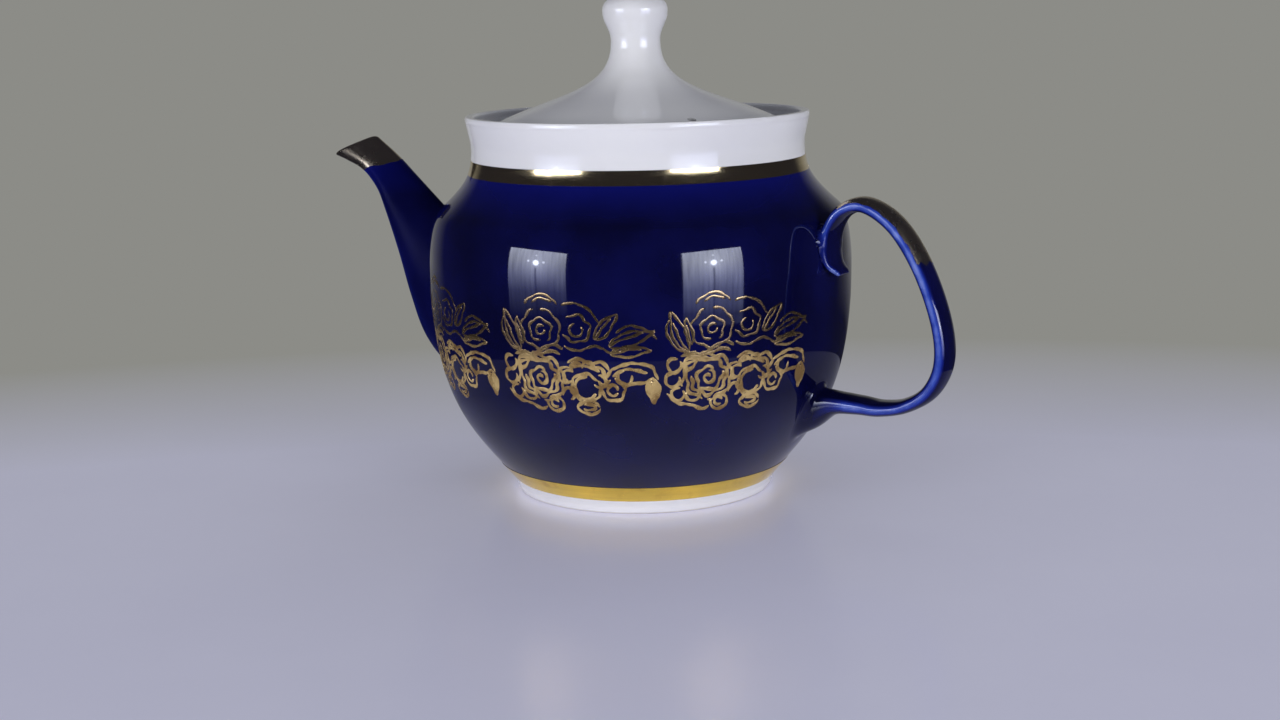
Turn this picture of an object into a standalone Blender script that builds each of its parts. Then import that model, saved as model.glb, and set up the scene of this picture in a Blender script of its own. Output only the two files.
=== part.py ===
"""Porcelain teapot for about one litre: a lathe-turned vessel, a hollow spout, a strap handle and a lid.

Metres, +Z up. The origin is the centre of the foot on the table. The spout points along -X and the
handle along +X. The vessel, spout and handle are cast apart and stuck together before firing, so they
are separate solids here, with a small gap where the casting slip would be. The lid lifts straight up.
"""

import math

import bmesh
import bpy
from mathutils import Vector
from mathutils.geometry import interpolate_bezier

MM = 0.001

# Vessel
BELLY_R = 65.0 * MM
BELLY_Z = 70.0 * MM
FOOT_R = 39.6 * MM
FOOT_TOP_R = 41.2 * MM
FOOT_TOP_Z = 4.2 * MM
FOOT_RING_WIDTH = 3.6 * MM
FOOT_EDGE = 0.5 * MM
BASE_RECESS = 1.2 * MM
FLOOR_Z = 5.0 * MM
WALL = 3.4 * MM
SHOULDER_R = 61.4 * MM
SHOULDER_Z = 87.4 * MM
WAIST_R = 50.9 * MM
WAIST_Z = 106.0 * MM
RIM_R = 52.4 * MM
RIM_Z = 115.6 * MM
RIM_THICK = 2.7 * MM

# Ledge inside the collar that the lid sits on
SEAT_Z = 108.5 * MM
SEAT_OUTER_R = 48.9 * MM
SEAT_INNER_R = 45.3 * MM
SEAT_THICK = 3.0 * MM

# Strainer: rows of round holes through the wall, behind the spout
SIEVE_ROWS = (1, 2, 3, 2, 1)
SIEVE_MID_Z = 53.0 * MM
SIEVE_PITCH = 8.0 * MM
SIEVE_HOLE_R = 2.1 * MM

# Space left for the casting slip, and under the resting lid
GAP = 0.3 * MM

# Lid
LID_R = 48.2 * MM
LID_EDGE = 2.4 * MM
LID_WALL = 3.0 * MM
NECK_R = 7.5 * MM
NECK_Z = 137.0 * MM
NECK_JOINT_Z = 131.0 * MM
NECK_BORE_R = 4.6 * MM
FLANGE_R = 44.2 * MM
FLANGE_WALL = 2.6 * MM
FLANGE_END_Z = 99.0 * MM
VENT_R = 1.3 * MM
VENT_REACH = 38.3 * MM
VENT_ANGLE = math.radians(-35)

# Knob
KNOB_R = 9.9 * MM
KNOB_WIDEST_Z = 146.3 * MM
KNOB_TOP_Z = 151.8 * MM
KNOB_ROOF = 2.6 * MM

# Spout
SPOUT_WALL = 2.8 * MM
LIP_WALL = 2.0 * MM
SPOUT_TIP_WIDTH = 12.3 * MM
SPOUT_THROAT_WIDTH = 17.5 * MM
SPOUT_ROOT_WIDTH = 30.0 * MM
SPOUT_INSET = 12.0 * MM

# The spout's section is an egg, fuller at the front by this share
EGG_SHARE = 0.25

# Handle strap, from its lower stretch up round the ear to the scroll
STRAP_WIDTH = 10.1 * MM
SCROLL_WIDTH = 12.7 * MM
LOWER_THICK = 4.3 * MM
UPPER_THICK = 4.85 * MM
SCROLL_THICK = 3.8 * MM
TIP_THICK = 2.6 * MM
STRAP_FULLNESS = 2.4

# Where along the strap, from 0 at its buried end to 1 at the tip, its section changes
UPPER_STARTS = (0.30, 0.42)
SCROLL_STARTS = (0.75, 0.90)
TIP_STARTS = (0.93, 1.0)
SCROLL_WIDENS = (0.78, 0.92)

# The strap's lower end flares into a foot, with a long gentle tail after its short steep spread.
# The buried sizes are at its very end, inside the wall.
BURIED_THICK = 28.0 * MM
BURIED_WIDTH = 14.0 * MM
FLARE_SHARE = 0.13
TAIL_THICK = 5.2 * MM
TAIL_SHARE = 0.26

SHARP_ANGLE = math.radians(35)

VESSEL_SEGMENTS = 56
LID_SEGMENTS = 40
KNOB_SEGMENTS = 24
SPOUT_SEGMENTS = 24
SPOUT_STEPS = 14
STRAP_SEGMENTS = 16
STRAP_STEPS = 50
TIP_TURNS = (0.45, 0.8, 1.1)
HOLE_SEGMENTS = 10


def clear_scene():
    for thing in list(bpy.data.objects):
        bpy.data.objects.remove(thing)


def material(name, colour, roughness, metallic=0.0):
    mat = bpy.data.materials.new(name)
    mat.use_nodes = True
    shader = mat.node_tree.nodes["Principled BSDF"]
    shader.inputs["Base Color"].default_value = (*colour, 1.0)
    shader.inputs["Roughness"].default_value = roughness
    shader.inputs["Metallic"].default_value = metallic
    mat.diffuse_color = (*colour, 1.0)
    return mat


def bezier(start, handle_a, handle_b, end, steps):
    """Points from start to end, each an (across, up) pair."""
    corners = [Vector((*p, 0.0)) for p in (start, handle_a, handle_b, end)]
    return [(p.x, p.y) for p in interpolate_bezier(*corners, steps + 1)]


def chain(*stretches):
    """Stretches of points end to end, with each shared point kept once."""
    points = list(stretches[0])
    for stretch in stretches[1:]:
        points += stretch[1:]
    return points


def spline_weights(t):
    """What the four knots about a span count for in it, where t runs from 0 to 1 between the middle two."""
    return (
        (-t + 2 * t**2 - t**3) / 2,
        (2 - 5 * t**2 + 3 * t**3) / 2,
        (t + 4 * t**2 - 3 * t**3) / 2,
        (t**3 - t**2) / 2,
    )


def spline(knots, steps):
    """A smooth curve through every knot (Catmull-Rom), with steps points for each span."""
    ends = [knots[0]] + list(knots) + [knots[-1]]
    points = []
    for near in zip(ends, ends[1:], ends[2:], ends[3:]):
        for k in range(steps):
            weights = spline_weights(k / steps)
            points.append(tuple(sum(w * v for w, v in zip(weights, values)) for values in zip(*near)))
    return points + [tuple(knots[-1])]


def offset(points, distance):
    """Moves an upward-running profile sideways: to its right, away from the axis, when positive."""
    moved = []
    for i, (r, z) in enumerate(points):
        before = points[max(i - 1, 0)]
        after = points[min(i + 1, len(points) - 1)]
        along = Vector((after[0] - before[0], after[1] - before[1])).normalized()
        moved.append((r + along.y * distance, z - along.x * distance))
    return moved


def outer_wall():
    """The vessel's outer profile from the foot's side up to the collar's lip."""
    foot_side = [(FOOT_R, FOOT_EDGE), (FOOT_TOP_R, FOOT_TOP_Z)]
    belly = bezier(
        (FOOT_TOP_R, FOOT_TOP_Z),
        (54.4 * MM, 20.4 * MM),
        (BELLY_R, 29.1 * MM),
        (BELLY_R, BELLY_Z),
        9,
    )
    shoulder = bezier(
        (BELLY_R, BELLY_Z),
        (BELLY_R, BELLY_Z + 6.9 * MM),
        (63.7 * MM, 85.4 * MM),
        (SHOULDER_R, SHOULDER_Z),
        5,
    )
    sweep_in = bezier(
        (SHOULDER_R, SHOULDER_Z),
        (52.2 * MM, 95.5 * MM),
        (WAIST_R, WAIST_Z - 7.2 * MM),
        (WAIST_R, WAIST_Z),
        6,
    )
    collar = bezier(
        (WAIST_R, WAIST_Z),
        (WAIST_R, WAIST_Z + 3.0 * MM),
        (RIM_R - 0.6 * MM, RIM_Z - 3.0 * MM),
        (RIM_R, RIM_Z - 0.9 * MM),
        3,
    )
    return chain(foot_side, belly, shoulder, sweep_in, collar)


def inner_wall():
    """The vessel's inner profile from under the ledge down to the floor's edge."""
    top = SEAT_Z - SEAT_THICK - 2.5 * MM
    bottom = FLOOR_Z + 3.0 * MM
    inside = offset(outer_wall(), -WALL)
    return [p for p in reversed(inside) if bottom < p[1] < top]


def vessel_profile():
    """The vessel's whole wall, from the axis under the base, up the outside and down the inside."""
    foot = [
        (0.0, BASE_RECESS),
        (FOOT_R - FOOT_RING_WIDTH - BASE_RECESS, BASE_RECESS),
        (FOOT_R - FOOT_RING_WIDTH, 0.0),
        (FOOT_R - FOOT_EDGE, 0.0),
    ]
    lip = [
        (RIM_R - 0.4 * MM, RIM_Z - 0.2 * MM),
        (RIM_R - RIM_THICK / 2, RIM_Z),
        (RIM_R - RIM_THICK + 0.4 * MM, RIM_Z - 0.3 * MM),
        (RIM_R - RIM_THICK, RIM_Z - 1.2 * MM),
    ]
    ledge = [
        (SEAT_OUTER_R, SEAT_Z + 2.0 * MM),
        (SEAT_OUTER_R, SEAT_Z),
        (SEAT_INNER_R + 0.4 * MM, SEAT_Z),
        (SEAT_INNER_R, SEAT_Z - 0.5 * MM),
        (SEAT_INNER_R, SEAT_Z - SEAT_THICK + 0.8 * MM),
        (SEAT_INNER_R + 0.8 * MM, SEAT_Z - SEAT_THICK),
    ]
    inside = inner_wall()
    edge_r = inside[-1][0]
    floor = [(edge_r - 4.0 * MM, FLOOR_Z), (0.0, FLOOR_Z)]
    return foot + outer_wall() + lip + ledge + inside + floor


def lid_cone():
    """The lid's outer profile from its edge up to the neck's narrowest place."""
    edge_z = SEAT_Z + GAP + LID_EDGE
    return bezier(
        (LID_R - 0.7 * MM, edge_z),
        (25.2 * MM, 122.0 * MM),
        (NECK_R, 121.6 * MM),
        (NECK_R, NECK_Z),
        12,
    )


def lid_profile():
    """The lid's shell: its top, the bore under the knob, its underside and the locating flange."""
    under = SEAT_Z + GAP
    top = [p for p in lid_cone() if p[1] < NECK_JOINT_Z - 0.6 * MM]
    neck_r = neck_radius(NECK_JOINT_Z)
    lining = [
        p
        for p in reversed(offset_inside(lid_cone(), LID_WALL))
        if NECK_BORE_R + 1.0 * MM < p[0] < FLANGE_R - FLANGE_WALL - 1.5 * MM
    ]
    flange = [
        (FLANGE_R - FLANGE_WALL, under - 1.0 * MM),
        (FLANGE_R - FLANGE_WALL, FLANGE_END_Z + 0.8 * MM),
        (FLANGE_R - FLANGE_WALL / 2, FLANGE_END_Z),
        (FLANGE_R, FLANGE_END_Z + 0.8 * MM),
        (FLANGE_R, under - 0.8 * MM),
        (FLANGE_R + 0.8 * MM, under),
    ]
    edge = [(LID_R - 0.5 * MM, under), (LID_R, under + 0.6 * MM), (LID_R, under + LID_EDGE - 0.6 * MM)]
    bore = [(neck_r, NECK_JOINT_Z), (NECK_BORE_R, NECK_JOINT_Z), (NECK_BORE_R, NECK_JOINT_Z - 3.5 * MM)]
    return edge + top + bore + lining + flange


def offset_inside(points, distance):
    """The underside of the lid's cone, whose profile runs inwards as it rises."""
    return offset(points, -distance)


def neck_radius(height):
    """The lid cone's radius where the knob is stuck on."""
    cone = lid_cone()
    for (r0, z0), (r1, z1) in zip(cone, cone[1:]):
        if z0 <= height <= z1:
            return r0 + (r1 - r0) * (height - z0) / (z1 - z0)
    return NECK_R


def knob_profile():
    """The knob's hollow shell: up the neck, over the domed top and back down the bore."""
    start_z = NECK_JOINT_Z + GAP
    neck = [(neck_radius(start_z), start_z), (neck_radius(134.0 * MM), 134.0 * MM)]
    flare = bezier(
        (NECK_R, NECK_Z),
        (NECK_R, NECK_Z + 4.0 * MM),
        (KNOB_R, KNOB_WIDEST_Z - 4.5 * MM),
        (KNOB_R, KNOB_WIDEST_Z),
        7,
    )
    dome = bezier(
        (KNOB_R, KNOB_WIDEST_Z),
        (KNOB_R, KNOB_WIDEST_Z + 2.6 * MM),
        (6.5 * MM, KNOB_TOP_Z),
        (0.0, KNOB_TOP_Z),
        7,
    )
    roof_z = KNOB_TOP_Z - KNOB_ROOF
    bore = [
        (0.0, roof_z),
        (4.2 * MM, roof_z - 0.5 * MM),
        (6.4 * MM, KNOB_WIDEST_Z),
        (5.6 * MM, KNOB_WIDEST_Z - 3.2 * MM),
        (NECK_BORE_R, NECK_Z + 2.0 * MM),
        (NECK_BORE_R, start_z),
    ]
    return chain(neck + flare, dome) + bore


def revolve(name, profile, segments, lift=0.0):
    """Turns a profile of (radius, height) points about Z, joined end to start unless the axis shuts it."""
    bm = bmesh.new()
    points = [bm.verts.new((r, 0.0, z - lift)) for r, z in profile]
    pairs = list(zip(points, points[1:]))
    if profile[0][0] > 0.0:
        pairs.append((points[-1], points[0]))
    edges = [bm.edges.new(pair) for pair in pairs]
    bmesh.ops.spin(
        bm,
        geom=points + edges,
        cent=(0, 0, 0),
        axis=(0, 0, 1),
        angle=2 * math.pi,
        steps=segments,
    )
    return finish_mesh(name, bm, lift)


def finish_mesh(name, bm, lift=0.0):
    """Welds the seams, turns the faces outwards and makes a smooth-shaded object."""
    bmesh.ops.remove_doubles(bm, verts=bm.verts, dist=0.01 * MM)
    bmesh.ops.recalc_face_normals(bm, faces=bm.faces)
    mesh = bpy.data.meshes.new(name)
    bm.to_mesh(mesh)
    bm.free()
    mesh.shade_smooth()
    mesh.set_sharp_from_angle(angle=SHARP_ANGLE)
    thing = bpy.data.objects.new(name, mesh)
    thing.location.z = lift
    bpy.context.scene.collection.objects.link(thing)
    return thing


def make_cutter(thing):
    thing.hide_render = True
    thing.display_type = "WIRE"
    return thing


def apply_boolean(thing, operation, other):
    modifier = thing.modifiers.new(f"{operation.lower()}_{other.name}", "BOOLEAN")
    modifier.operation = operation
    modifier.solver = "EXACT"
    modifier.object = other


def join_rings(bm, rings, closed):
    """Faces between each ring of vertices and the next, and round to the first again if closed."""
    pairs = list(zip(rings, rings[1:]))
    if closed:
        pairs.append((rings[-1], rings[0]))
    for ring, following in pairs:
        for i in range(len(ring)):
            j = (i + 1) % len(ring)
            bm.faces.new((ring[i], ring[j], following[j], following[i]))


def filled_out(value, fullness):
    """Moves a sine or cosine towards +-1: a fullness of 2 keeps an oval, and more squares it off."""
    return math.copysign(abs(value) ** (2 / fullness), value)


def oval(centre, half_axis, half_width, segments, fullness=2.0, egg=0.0):
    """Points round an oval that spans half_axis in the XZ plane and half_width along Y.

    With an egg share it is widest on the side that half_axis points away from.
    """
    turns = [2 * math.pi * k / segments for k in range(segments)]
    across = [filled_out(math.cos(a), fullness) for a in turns]
    beside = [filled_out(math.sin(a), fullness) * (1 - egg * math.cos(a)) for a in turns]
    side = Vector((0.0, half_width / max(beside), 0.0))
    return [centre + half_axis * u + side * v for u, v in zip(across, beside)]


def by_length(points, count):
    """count + 1 points spaced evenly along a line of points."""
    lengths = [0.0]
    for a, b in zip(points, points[1:]):
        lengths.append(lengths[-1] + (Vector(b) - Vector(a)).length)
    spaced = []
    i = 0
    for k in range(count + 1):
        want = lengths[-1] * k / count
        while i < len(points) - 2 and lengths[i + 1] < want:
            i += 1
        share = (want - lengths[i]) / (lengths[i + 1] - lengths[i])
        spaced.append(Vector(points[i]).lerp(Vector(points[i + 1]), share))
    return spaced


def hole_cutter(name, places, radius, reach, along_x):
    """Round cutters at the given places, running along X or Z."""
    bm = bmesh.new()
    for x, y, z in places:
        made = bmesh.ops.create_cone(
            bm,
            cap_ends=True,
            segments=HOLE_SEGMENTS,
            radius1=radius,
            radius2=radius,
            depth=2 * reach,
        )["verts"]
        if along_x:
            bmesh.ops.rotate(bm, verts=made, cent=(0, 0, 0), matrix=quarter_turn())
        bmesh.ops.translate(bm, verts=made, vec=(x, y, z))
    return make_cutter(finish_mesh(name, bm))


def quarter_turn():
    return Vector((0, 0, 1)).rotation_difference(Vector((1, 0, 0))).to_matrix()


def sieve_places():
    """Centres of the strainer's holes, in rows that step half a pitch sideways."""
    places = []
    for row, count in enumerate(SIEVE_ROWS):
        z = SIEVE_MID_Z + (row - (len(SIEVE_ROWS) - 1) / 2) * SIEVE_PITCH
        for k in range(count):
            y = (k - (count - 1) / 2) * SIEVE_PITCH
            places.append((-BELLY_R, y, z))
    return places


def make_vessel(glaze):
    vessel = revolve("vessel", vessel_profile(), VESSEL_SEGMENTS)
    holes = hole_cutter("strainer_cutter", sieve_places(), SIEVE_HOLE_R, 16 * MM, True)
    apply_boolean(vessel, "DIFFERENCE", holes)
    vessel.data.materials.append(glaze)
    return vessel


def make_clearance():
    """The vessel's outer shape, filled and grown by the gap: it trims what is stuck to the wall."""
    grown = offset(outer_wall(), GAP)
    solid = [(0.0, -5 * MM), (grown[0][0], -5 * MM)] + grown + [(0.0, RIM_Z + 5 * MM)]
    return make_cutter(revolve("vessel_clearance", solid, VESSEL_SEGMENTS))


def spout_rings(bm, inwards):
    """Rings from root to mouth, each spanning the rear and front outlines: outside at 0, bore at 1."""
    rear = by_length(spout_rear(), SPOUT_STEPS)
    front = by_length(spout_front(), SPOUT_STEPS)
    rings = []
    for k, (back, fore) in enumerate(zip(rear, front)):
        share = k / SPOUT_STEPS
        wall = inwards * (SPOUT_WALL + (LIP_WALL - SPOUT_WALL) * share)
        centre = (back + fore) / 2
        half_axis = (back - fore) / 2
        half_axis *= (half_axis.length - wall) / half_axis.length
        width = spout_width(share)
        points = oval(centre, half_axis, width / 2 - wall, SPOUT_SEGMENTS, egg=EGG_SHARE)
        rings.append([bm.verts.new(p) for p in points])
    return rings


def spout_width(share):
    """The spout's width at a share of its length: wide at the root, steady along the throat, less at the lip."""
    root = (SPOUT_ROOT_WIDTH - SPOUT_THROAT_WIDTH) * (1 - share) ** 5
    lip = (SPOUT_TIP_WIDTH - SPOUT_THROAT_WIDTH) * share**4
    return SPOUT_THROAT_WIDTH + root + lip


def spout_rear():
    """The spout's upper outline, from the shoulder out to the mouth."""
    curve = bezier((-62.0, 72.4), (-75.2, 84.8), (-91.2, 98.3), (-101.5, 106.2), 16)
    return [(x * MM, 0.0, z * MM) for x, z in curve]


def spout_front():
    """The spout's lower outline: a belly near the root, a steep throat and a beak."""
    knots = (
        (-57.0, 25.0),
        (-71.5, 30.6),
        (-80.5, 39.0),
        (-85.7, 51.2),
        (-90.0, 66.2),
        (-94.6, 80.2),
        (-98.0, 88.3),
        (-104.3, 94.9),
        (-112.0, 98.2),
        (-117.4, 99.9),
    )
    return [(x * MM, 0.0, z * MM) for x, z in spline(knots, 6)]


def make_spout(glaze, clearance):
    bm = bmesh.new()
    outside = spout_rings(bm, 0.0)
    inside = spout_rings(bm, 1.0)
    root_shift = Vector((SPOUT_INSET, 0.0, 0.0))
    buried = [[bm.verts.new(v.co + root_shift) for v in rings[0]] for rings in (outside, inside)]
    loop = [buried[0]] + outside + list(reversed(inside)) + [buried[1]]
    join_rings(bm, loop, True)
    spout = finish_mesh("spout", bm)
    apply_boolean(spout, "DIFFERENCE", clearance)
    spout.data.materials.append(glaze)
    return spout


def strap_line():
    """The strap's centre line, from inside the lower root, round the ear and down to the scroll's tip."""
    knots = (
        (51.5, 30.4),
        (58.5, 29.8),
        (66.0, 31.3),
        (74.0, 31.3),
        (81.0, 31.0),
        (89.0, 32.7),
        (96.2, 37.6),
        (100.0, 46.3),
        (98.9, 58.0),
        (93.3, 72.8),
        (85.4, 84.4),
        (76.2, 90.0),
        (69.4, 88.4),
        (65.6, 83.2),
        (64.7, 77.2),
        (65.5, 72.9),
        (67.9, 70.5),
    )
    return [(x * MM, 0.0, z * MM) for x, z in spline(knots, 6)]


def strap_size(place):
    """(thickness, width) of the strap where place runs from 0 at the lower root to 1 at the tip."""
    flare = max(0.0, 1 - place / FLARE_SHARE) ** 2
    tail = max(0.0, 1 - place / TAIL_SHARE) ** 1.5
    thick = LOWER_THICK + (BURIED_THICK - LOWER_THICK - TAIL_THICK) * flare + TAIL_THICK * tail
    width = STRAP_WIDTH + (BURIED_WIDTH - STRAP_WIDTH) * flare
    width += (SCROLL_WIDTH - STRAP_WIDTH) * ramp(place, *SCROLL_WIDENS)
    thick += (UPPER_THICK - LOWER_THICK) * ramp(place, *UPPER_STARTS)
    thick += (SCROLL_THICK - UPPER_THICK) * ramp(place, *SCROLL_STARTS)
    thick += (TIP_THICK - SCROLL_THICK) * ramp(place, *TIP_STARTS)
    return thick, width


def ramp(value, start, end):
    """0 before start, 1 after end, and even in between."""
    return min(max((value - start) / (end - start), 0.0), 1.0)


def strap_ring(bm, centre, across, thick, width):
    points = oval(centre, across * (thick / 2), width / 2, STRAP_SEGMENTS, fullness=STRAP_FULLNESS)
    return [bm.verts.new(p) for p in points]


def make_strap(bm):
    """The strap as a closed solid: a squared oval carried along the centre line, with a rounded tip."""
    line = by_length(strap_line(), STRAP_STEPS)
    rings = []
    for k, centre in enumerate(line):
        along = (line[min(k + 1, STRAP_STEPS)] - line[max(k - 1, 0)]).normalized()
        across = Vector((along.z, 0.0, -along.x))
        thick, width = strap_size(k / STRAP_STEPS)
        rings.append(strap_ring(bm, centre, across, thick, width))
    for turn in TIP_TURNS:
        shrink = math.cos(turn)
        reach = line[-1] + along * (thick / 2 * math.sin(turn))
        rings.append(strap_ring(bm, reach, across, thick * shrink, width - thick * (1 - shrink)))
    join_rings(bm, rings, False)
    bm.faces.new(rings[0])
    bm.faces.new(list(reversed(rings[-1])))


def make_handle(glaze, clearance):
    bm = bmesh.new()
    make_strap(bm)
    handle = finish_mesh("handle", bm)
    apply_boolean(handle, "DIFFERENCE", clearance)
    handle.data.materials.append(glaze)
    return handle


def make_lid(glaze):
    """The lid's own origin is on its lifting axis, level with the seat."""
    lid = revolve("lid", lid_profile(), LID_SEGMENTS, lift=SEAT_Z)
    place = (
        VENT_REACH * math.cos(VENT_ANGLE),
        VENT_REACH * math.sin(VENT_ANGLE),
        SEAT_Z + 6 * MM,
    )
    vent = hole_cutter("vent_cutter", [place], VENT_R, 12 * MM, False)
    apply_boolean(lid, "DIFFERENCE", vent)
    lid.data.materials.append(glaze)
    return lid


def make_knob(glaze, lid):
    start_z = NECK_JOINT_Z + GAP
    knob = revolve("lid_knob", knob_profile(), KNOB_SEGMENTS, lift=start_z)
    knob.parent = lid
    knob.location.z = start_z - SEAT_Z
    knob.data.materials.append(glaze)
    return knob


def build():
    clear_scene()
    cobalt = (0.008, 0.010, 0.085)
    white = (0.80, 0.81, 0.85)
    clearance = make_clearance()
    make_vessel(material("vessel_glaze", cobalt, 0.08))
    make_spout(material("spout_glaze", cobalt, 0.08), clearance)
    make_handle(material("handle_glaze", (0.012, 0.020, 0.16), 0.08), clearance)
    lid = make_lid(material("lid_glaze", white, 0.10))
    make_knob(material("knob_glaze", white, 0.10), lid)


build()
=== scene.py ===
import math

import bpy
import numpy as np
from mathutils import Matrix, Vector


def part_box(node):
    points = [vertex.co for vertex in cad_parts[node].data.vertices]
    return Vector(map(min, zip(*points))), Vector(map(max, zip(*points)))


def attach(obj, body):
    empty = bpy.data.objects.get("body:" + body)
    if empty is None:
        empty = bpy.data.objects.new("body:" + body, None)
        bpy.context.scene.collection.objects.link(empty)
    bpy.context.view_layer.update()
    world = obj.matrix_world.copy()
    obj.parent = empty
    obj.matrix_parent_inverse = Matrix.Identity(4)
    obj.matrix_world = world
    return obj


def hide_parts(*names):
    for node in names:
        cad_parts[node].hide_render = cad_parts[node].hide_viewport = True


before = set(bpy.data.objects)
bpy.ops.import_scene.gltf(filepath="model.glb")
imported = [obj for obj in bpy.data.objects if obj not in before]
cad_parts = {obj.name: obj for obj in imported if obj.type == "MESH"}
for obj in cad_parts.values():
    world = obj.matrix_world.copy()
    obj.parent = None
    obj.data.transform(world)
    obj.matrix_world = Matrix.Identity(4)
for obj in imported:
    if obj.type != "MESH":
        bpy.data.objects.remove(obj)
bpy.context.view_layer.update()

# Looks for the porcelain teapot. Shapes are worked out in millimetres and stored in metres.
# The vessel, spout, handle, lid and knob are rebuilt finely on the outlines of their CAD nodes,
# and the cobalt coat, the gold bands and the flower sprays lie on them.

MM = 0.001


def node_box(node):
    """Lowest and highest corner of a CAD node, in millimetres."""
    return tuple(np.array(corner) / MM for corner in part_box(node))


_, vessel_high = node_box("vessel")
spout_low, spout_high = node_box("spout")
lid_low, lid_high = node_box("lid")
knob_low, knob_high = node_box("lid_knob")

# Vessel outline
BELLY_R = vessel_high[1]
BELLY_Z = 70.0
RIM_Z = vessel_high[2]
RIM_R = 52.4
RIM_WALL = 2.7
WAIST_R = 50.9
WAIST_Z = 106.0
FOOT_R = 39.6
FOOT_TOP_R = 41.2
FOOT_TOP_Z = 4.2
FOOT_RING_WIDTH = 3.6
BASE_RECESS = 1.2
FLOOR_Z = 5.0
WALL = 3.4
SEAT_Z = 108.5
SEAT_OUTER_R = 48.9
SEAT_INNER_R = 45.3
SEAT_THICK = 3.0

# Layers, counted inwards from the CAD surface so that nothing leaves the CAD box.
# The handle's strap sinks a little as well, for the same reason.
GILT_TOP = 0.03
GILT_BOTTOM = 0.10
COAT_TOP = 0.12
COAT_THICK = 0.25
UNDER_COAT = 0.42
STRAP_SINK = 0.04

# Heights where the finish changes
FOOT_BAND = (4.3, 9.4)
COLLAR_BAND = (98.2, 102.4)
COAT_TUCK = 0.45

LATHE_SEGMENTS = 192


# ---- curves

def shares(count):
    """Numbers spaced evenly from 0 to 1."""
    return np.linspace(0.0, 1.0, count)


def unit(vectors):
    return vectors / np.linalg.norm(vectors, axis=-1)[..., None]


def bezier(start, pull_a, pull_b, end, steps):
    t = shares(steps + 1)[:, None]
    a, b, c, d = (np.array(p, float) for p in (start, pull_a, pull_b, end))
    return a * (1 - t) ** 3 + 3 * b * t * (1 - t) ** 2 + 3 * c * t**2 * (1 - t) + d * t**3


def polar(reach, degrees):
    angle = math.radians(degrees)
    return reach * math.cos(angle), reach * math.sin(angle)


def spline(knots, steps):
    """A smooth curve through every knot (Catmull-Rom)."""
    knots = np.array(knots, float)
    ends = np.vstack([knots[:1], knots, knots[-1:]])
    t = (np.arange(steps) / steps)[:, None]
    spans = []
    for p, q, r, s in zip(ends, ends[1:], ends[2:], ends[3:]):
        bend = 2 * p - 5 * q + 4 * r - s
        twist = 3 * q - p - 3 * r + s
        spans.append(0.5 * (2 * q + (r - p) * t + bend * t**2 + twist * t**3))
    return np.vstack(spans + [knots[-1:]])


def chain(*stretches):
    """Stretches end to end, with each shared point kept once."""
    return np.vstack([stretches[0]] + [s[1:] for s in stretches[1:]])


def by_length(points, count):
    """count points spaced evenly along a line of points."""
    steps = np.linalg.norm(np.diff(points, axis=0), axis=1)
    along = np.concatenate([[0.0], np.cumsum(steps)])
    want = np.linspace(0.0, along[-1], count)
    return np.column_stack([np.interp(want, along, column) for column in points.T])


def offset(points, distance):
    """Moves an outline to its right: away from the axis where it runs upwards."""
    along = unit(np.gradient(points, axis=0))
    return points + np.column_stack([along[:, 1], -along[:, 0]]) * distance


def rounded(corners):
    """An outline through (r, z, radius) corners, with each corner cut round."""
    points = []
    for i, (r, z, radius) in enumerate(corners):
        here = np.array([r, z], float)
        if radius <= 0.0:
            points.append(here)
            continue
        ends = []
        for neighbour in (corners[i - 1], corners[i + 1]):
            away = np.array(neighbour[:2], float) - here
            length = np.linalg.norm(away)
            ends.append(here + away / length * min(radius, length * 0.49))
        for t in shares(5):
            points.append(ends[0] * (1 - t) ** 2 + 2 * here * t * (1 - t) + ends[1] * t**2)
    return np.array(points)


# ---- vessel wall

def outer_wall():
    """The vessel's outer outline from the foot's side up to the collar's lip."""
    foot_side = np.array([(FOOT_R, 0.5), (FOOT_R + 0.8, 2.35), (FOOT_TOP_R, FOOT_TOP_Z)])
    belly = bezier((FOOT_TOP_R, FOOT_TOP_Z), (54.4, 20.4), (BELLY_R, 29.1), (BELLY_R, BELLY_Z), 60)
    shoulder = bezier((BELLY_R, BELLY_Z), (BELLY_R, 76.9), (63.7, 85.4), (61.4, 87.4), 24)
    sweep_in = bezier((61.4, 87.4), (52.2, 95.5), (WAIST_R, 98.8), (WAIST_R, WAIST_Z), 30)
    collar_end = (RIM_R, RIM_Z - 0.9)
    collar = bezier((WAIST_R, WAIST_Z), (WAIST_R, 108.3), (RIM_R - 0.7, 109.8), collar_end, 16)
    return chain(foot_side, belly, shoulder, sweep_in, collar)


WALL_LINE = outer_wall()
WALL_SLOPE = np.gradient(WALL_LINE[:, 0]) / np.gradient(WALL_LINE[:, 1])


def wall_radius(z):
    return np.interp(z, WALL_LINE[:, 1], WALL_LINE[:, 0])


def wall_distance(points):
    """How far points stand off the cobalt coat, and the directions straight away from it."""
    r = np.hypot(points[..., 0], points[..., 1])
    slope = np.interp(points[..., 2], WALL_LINE[:, 1], WALL_SLOPE)
    steep = np.sqrt(1.0 + slope**2)
    gap = (r - wall_radius(points[..., 2])) / steep + COAT_TOP
    away = np.stack([points[..., 0] / r, points[..., 1] / r, -slope], axis=-1) / steep[..., None]
    return gap, away


def wall_stretch(low, high, depth):
    """The wall's outline between two heights, sunk by depth."""
    line = WALL_LINE[(WALL_LINE[:, 1] > low) & (WALL_LINE[:, 1] < high)]
    ends = [(wall_radius(low), low)], [(wall_radius(high), high)]
    return offset(np.vstack([ends[0], line, ends[1]]), -depth)


def inner_wall():
    inside = offset(WALL_LINE, -WALL)[::-1]
    return inside[(inside[:, 1] < SEAT_Z - SEAT_THICK - 2.5) & (inside[:, 1] > FLOOR_Z + 3.0)]


# ---- meshes

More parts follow.
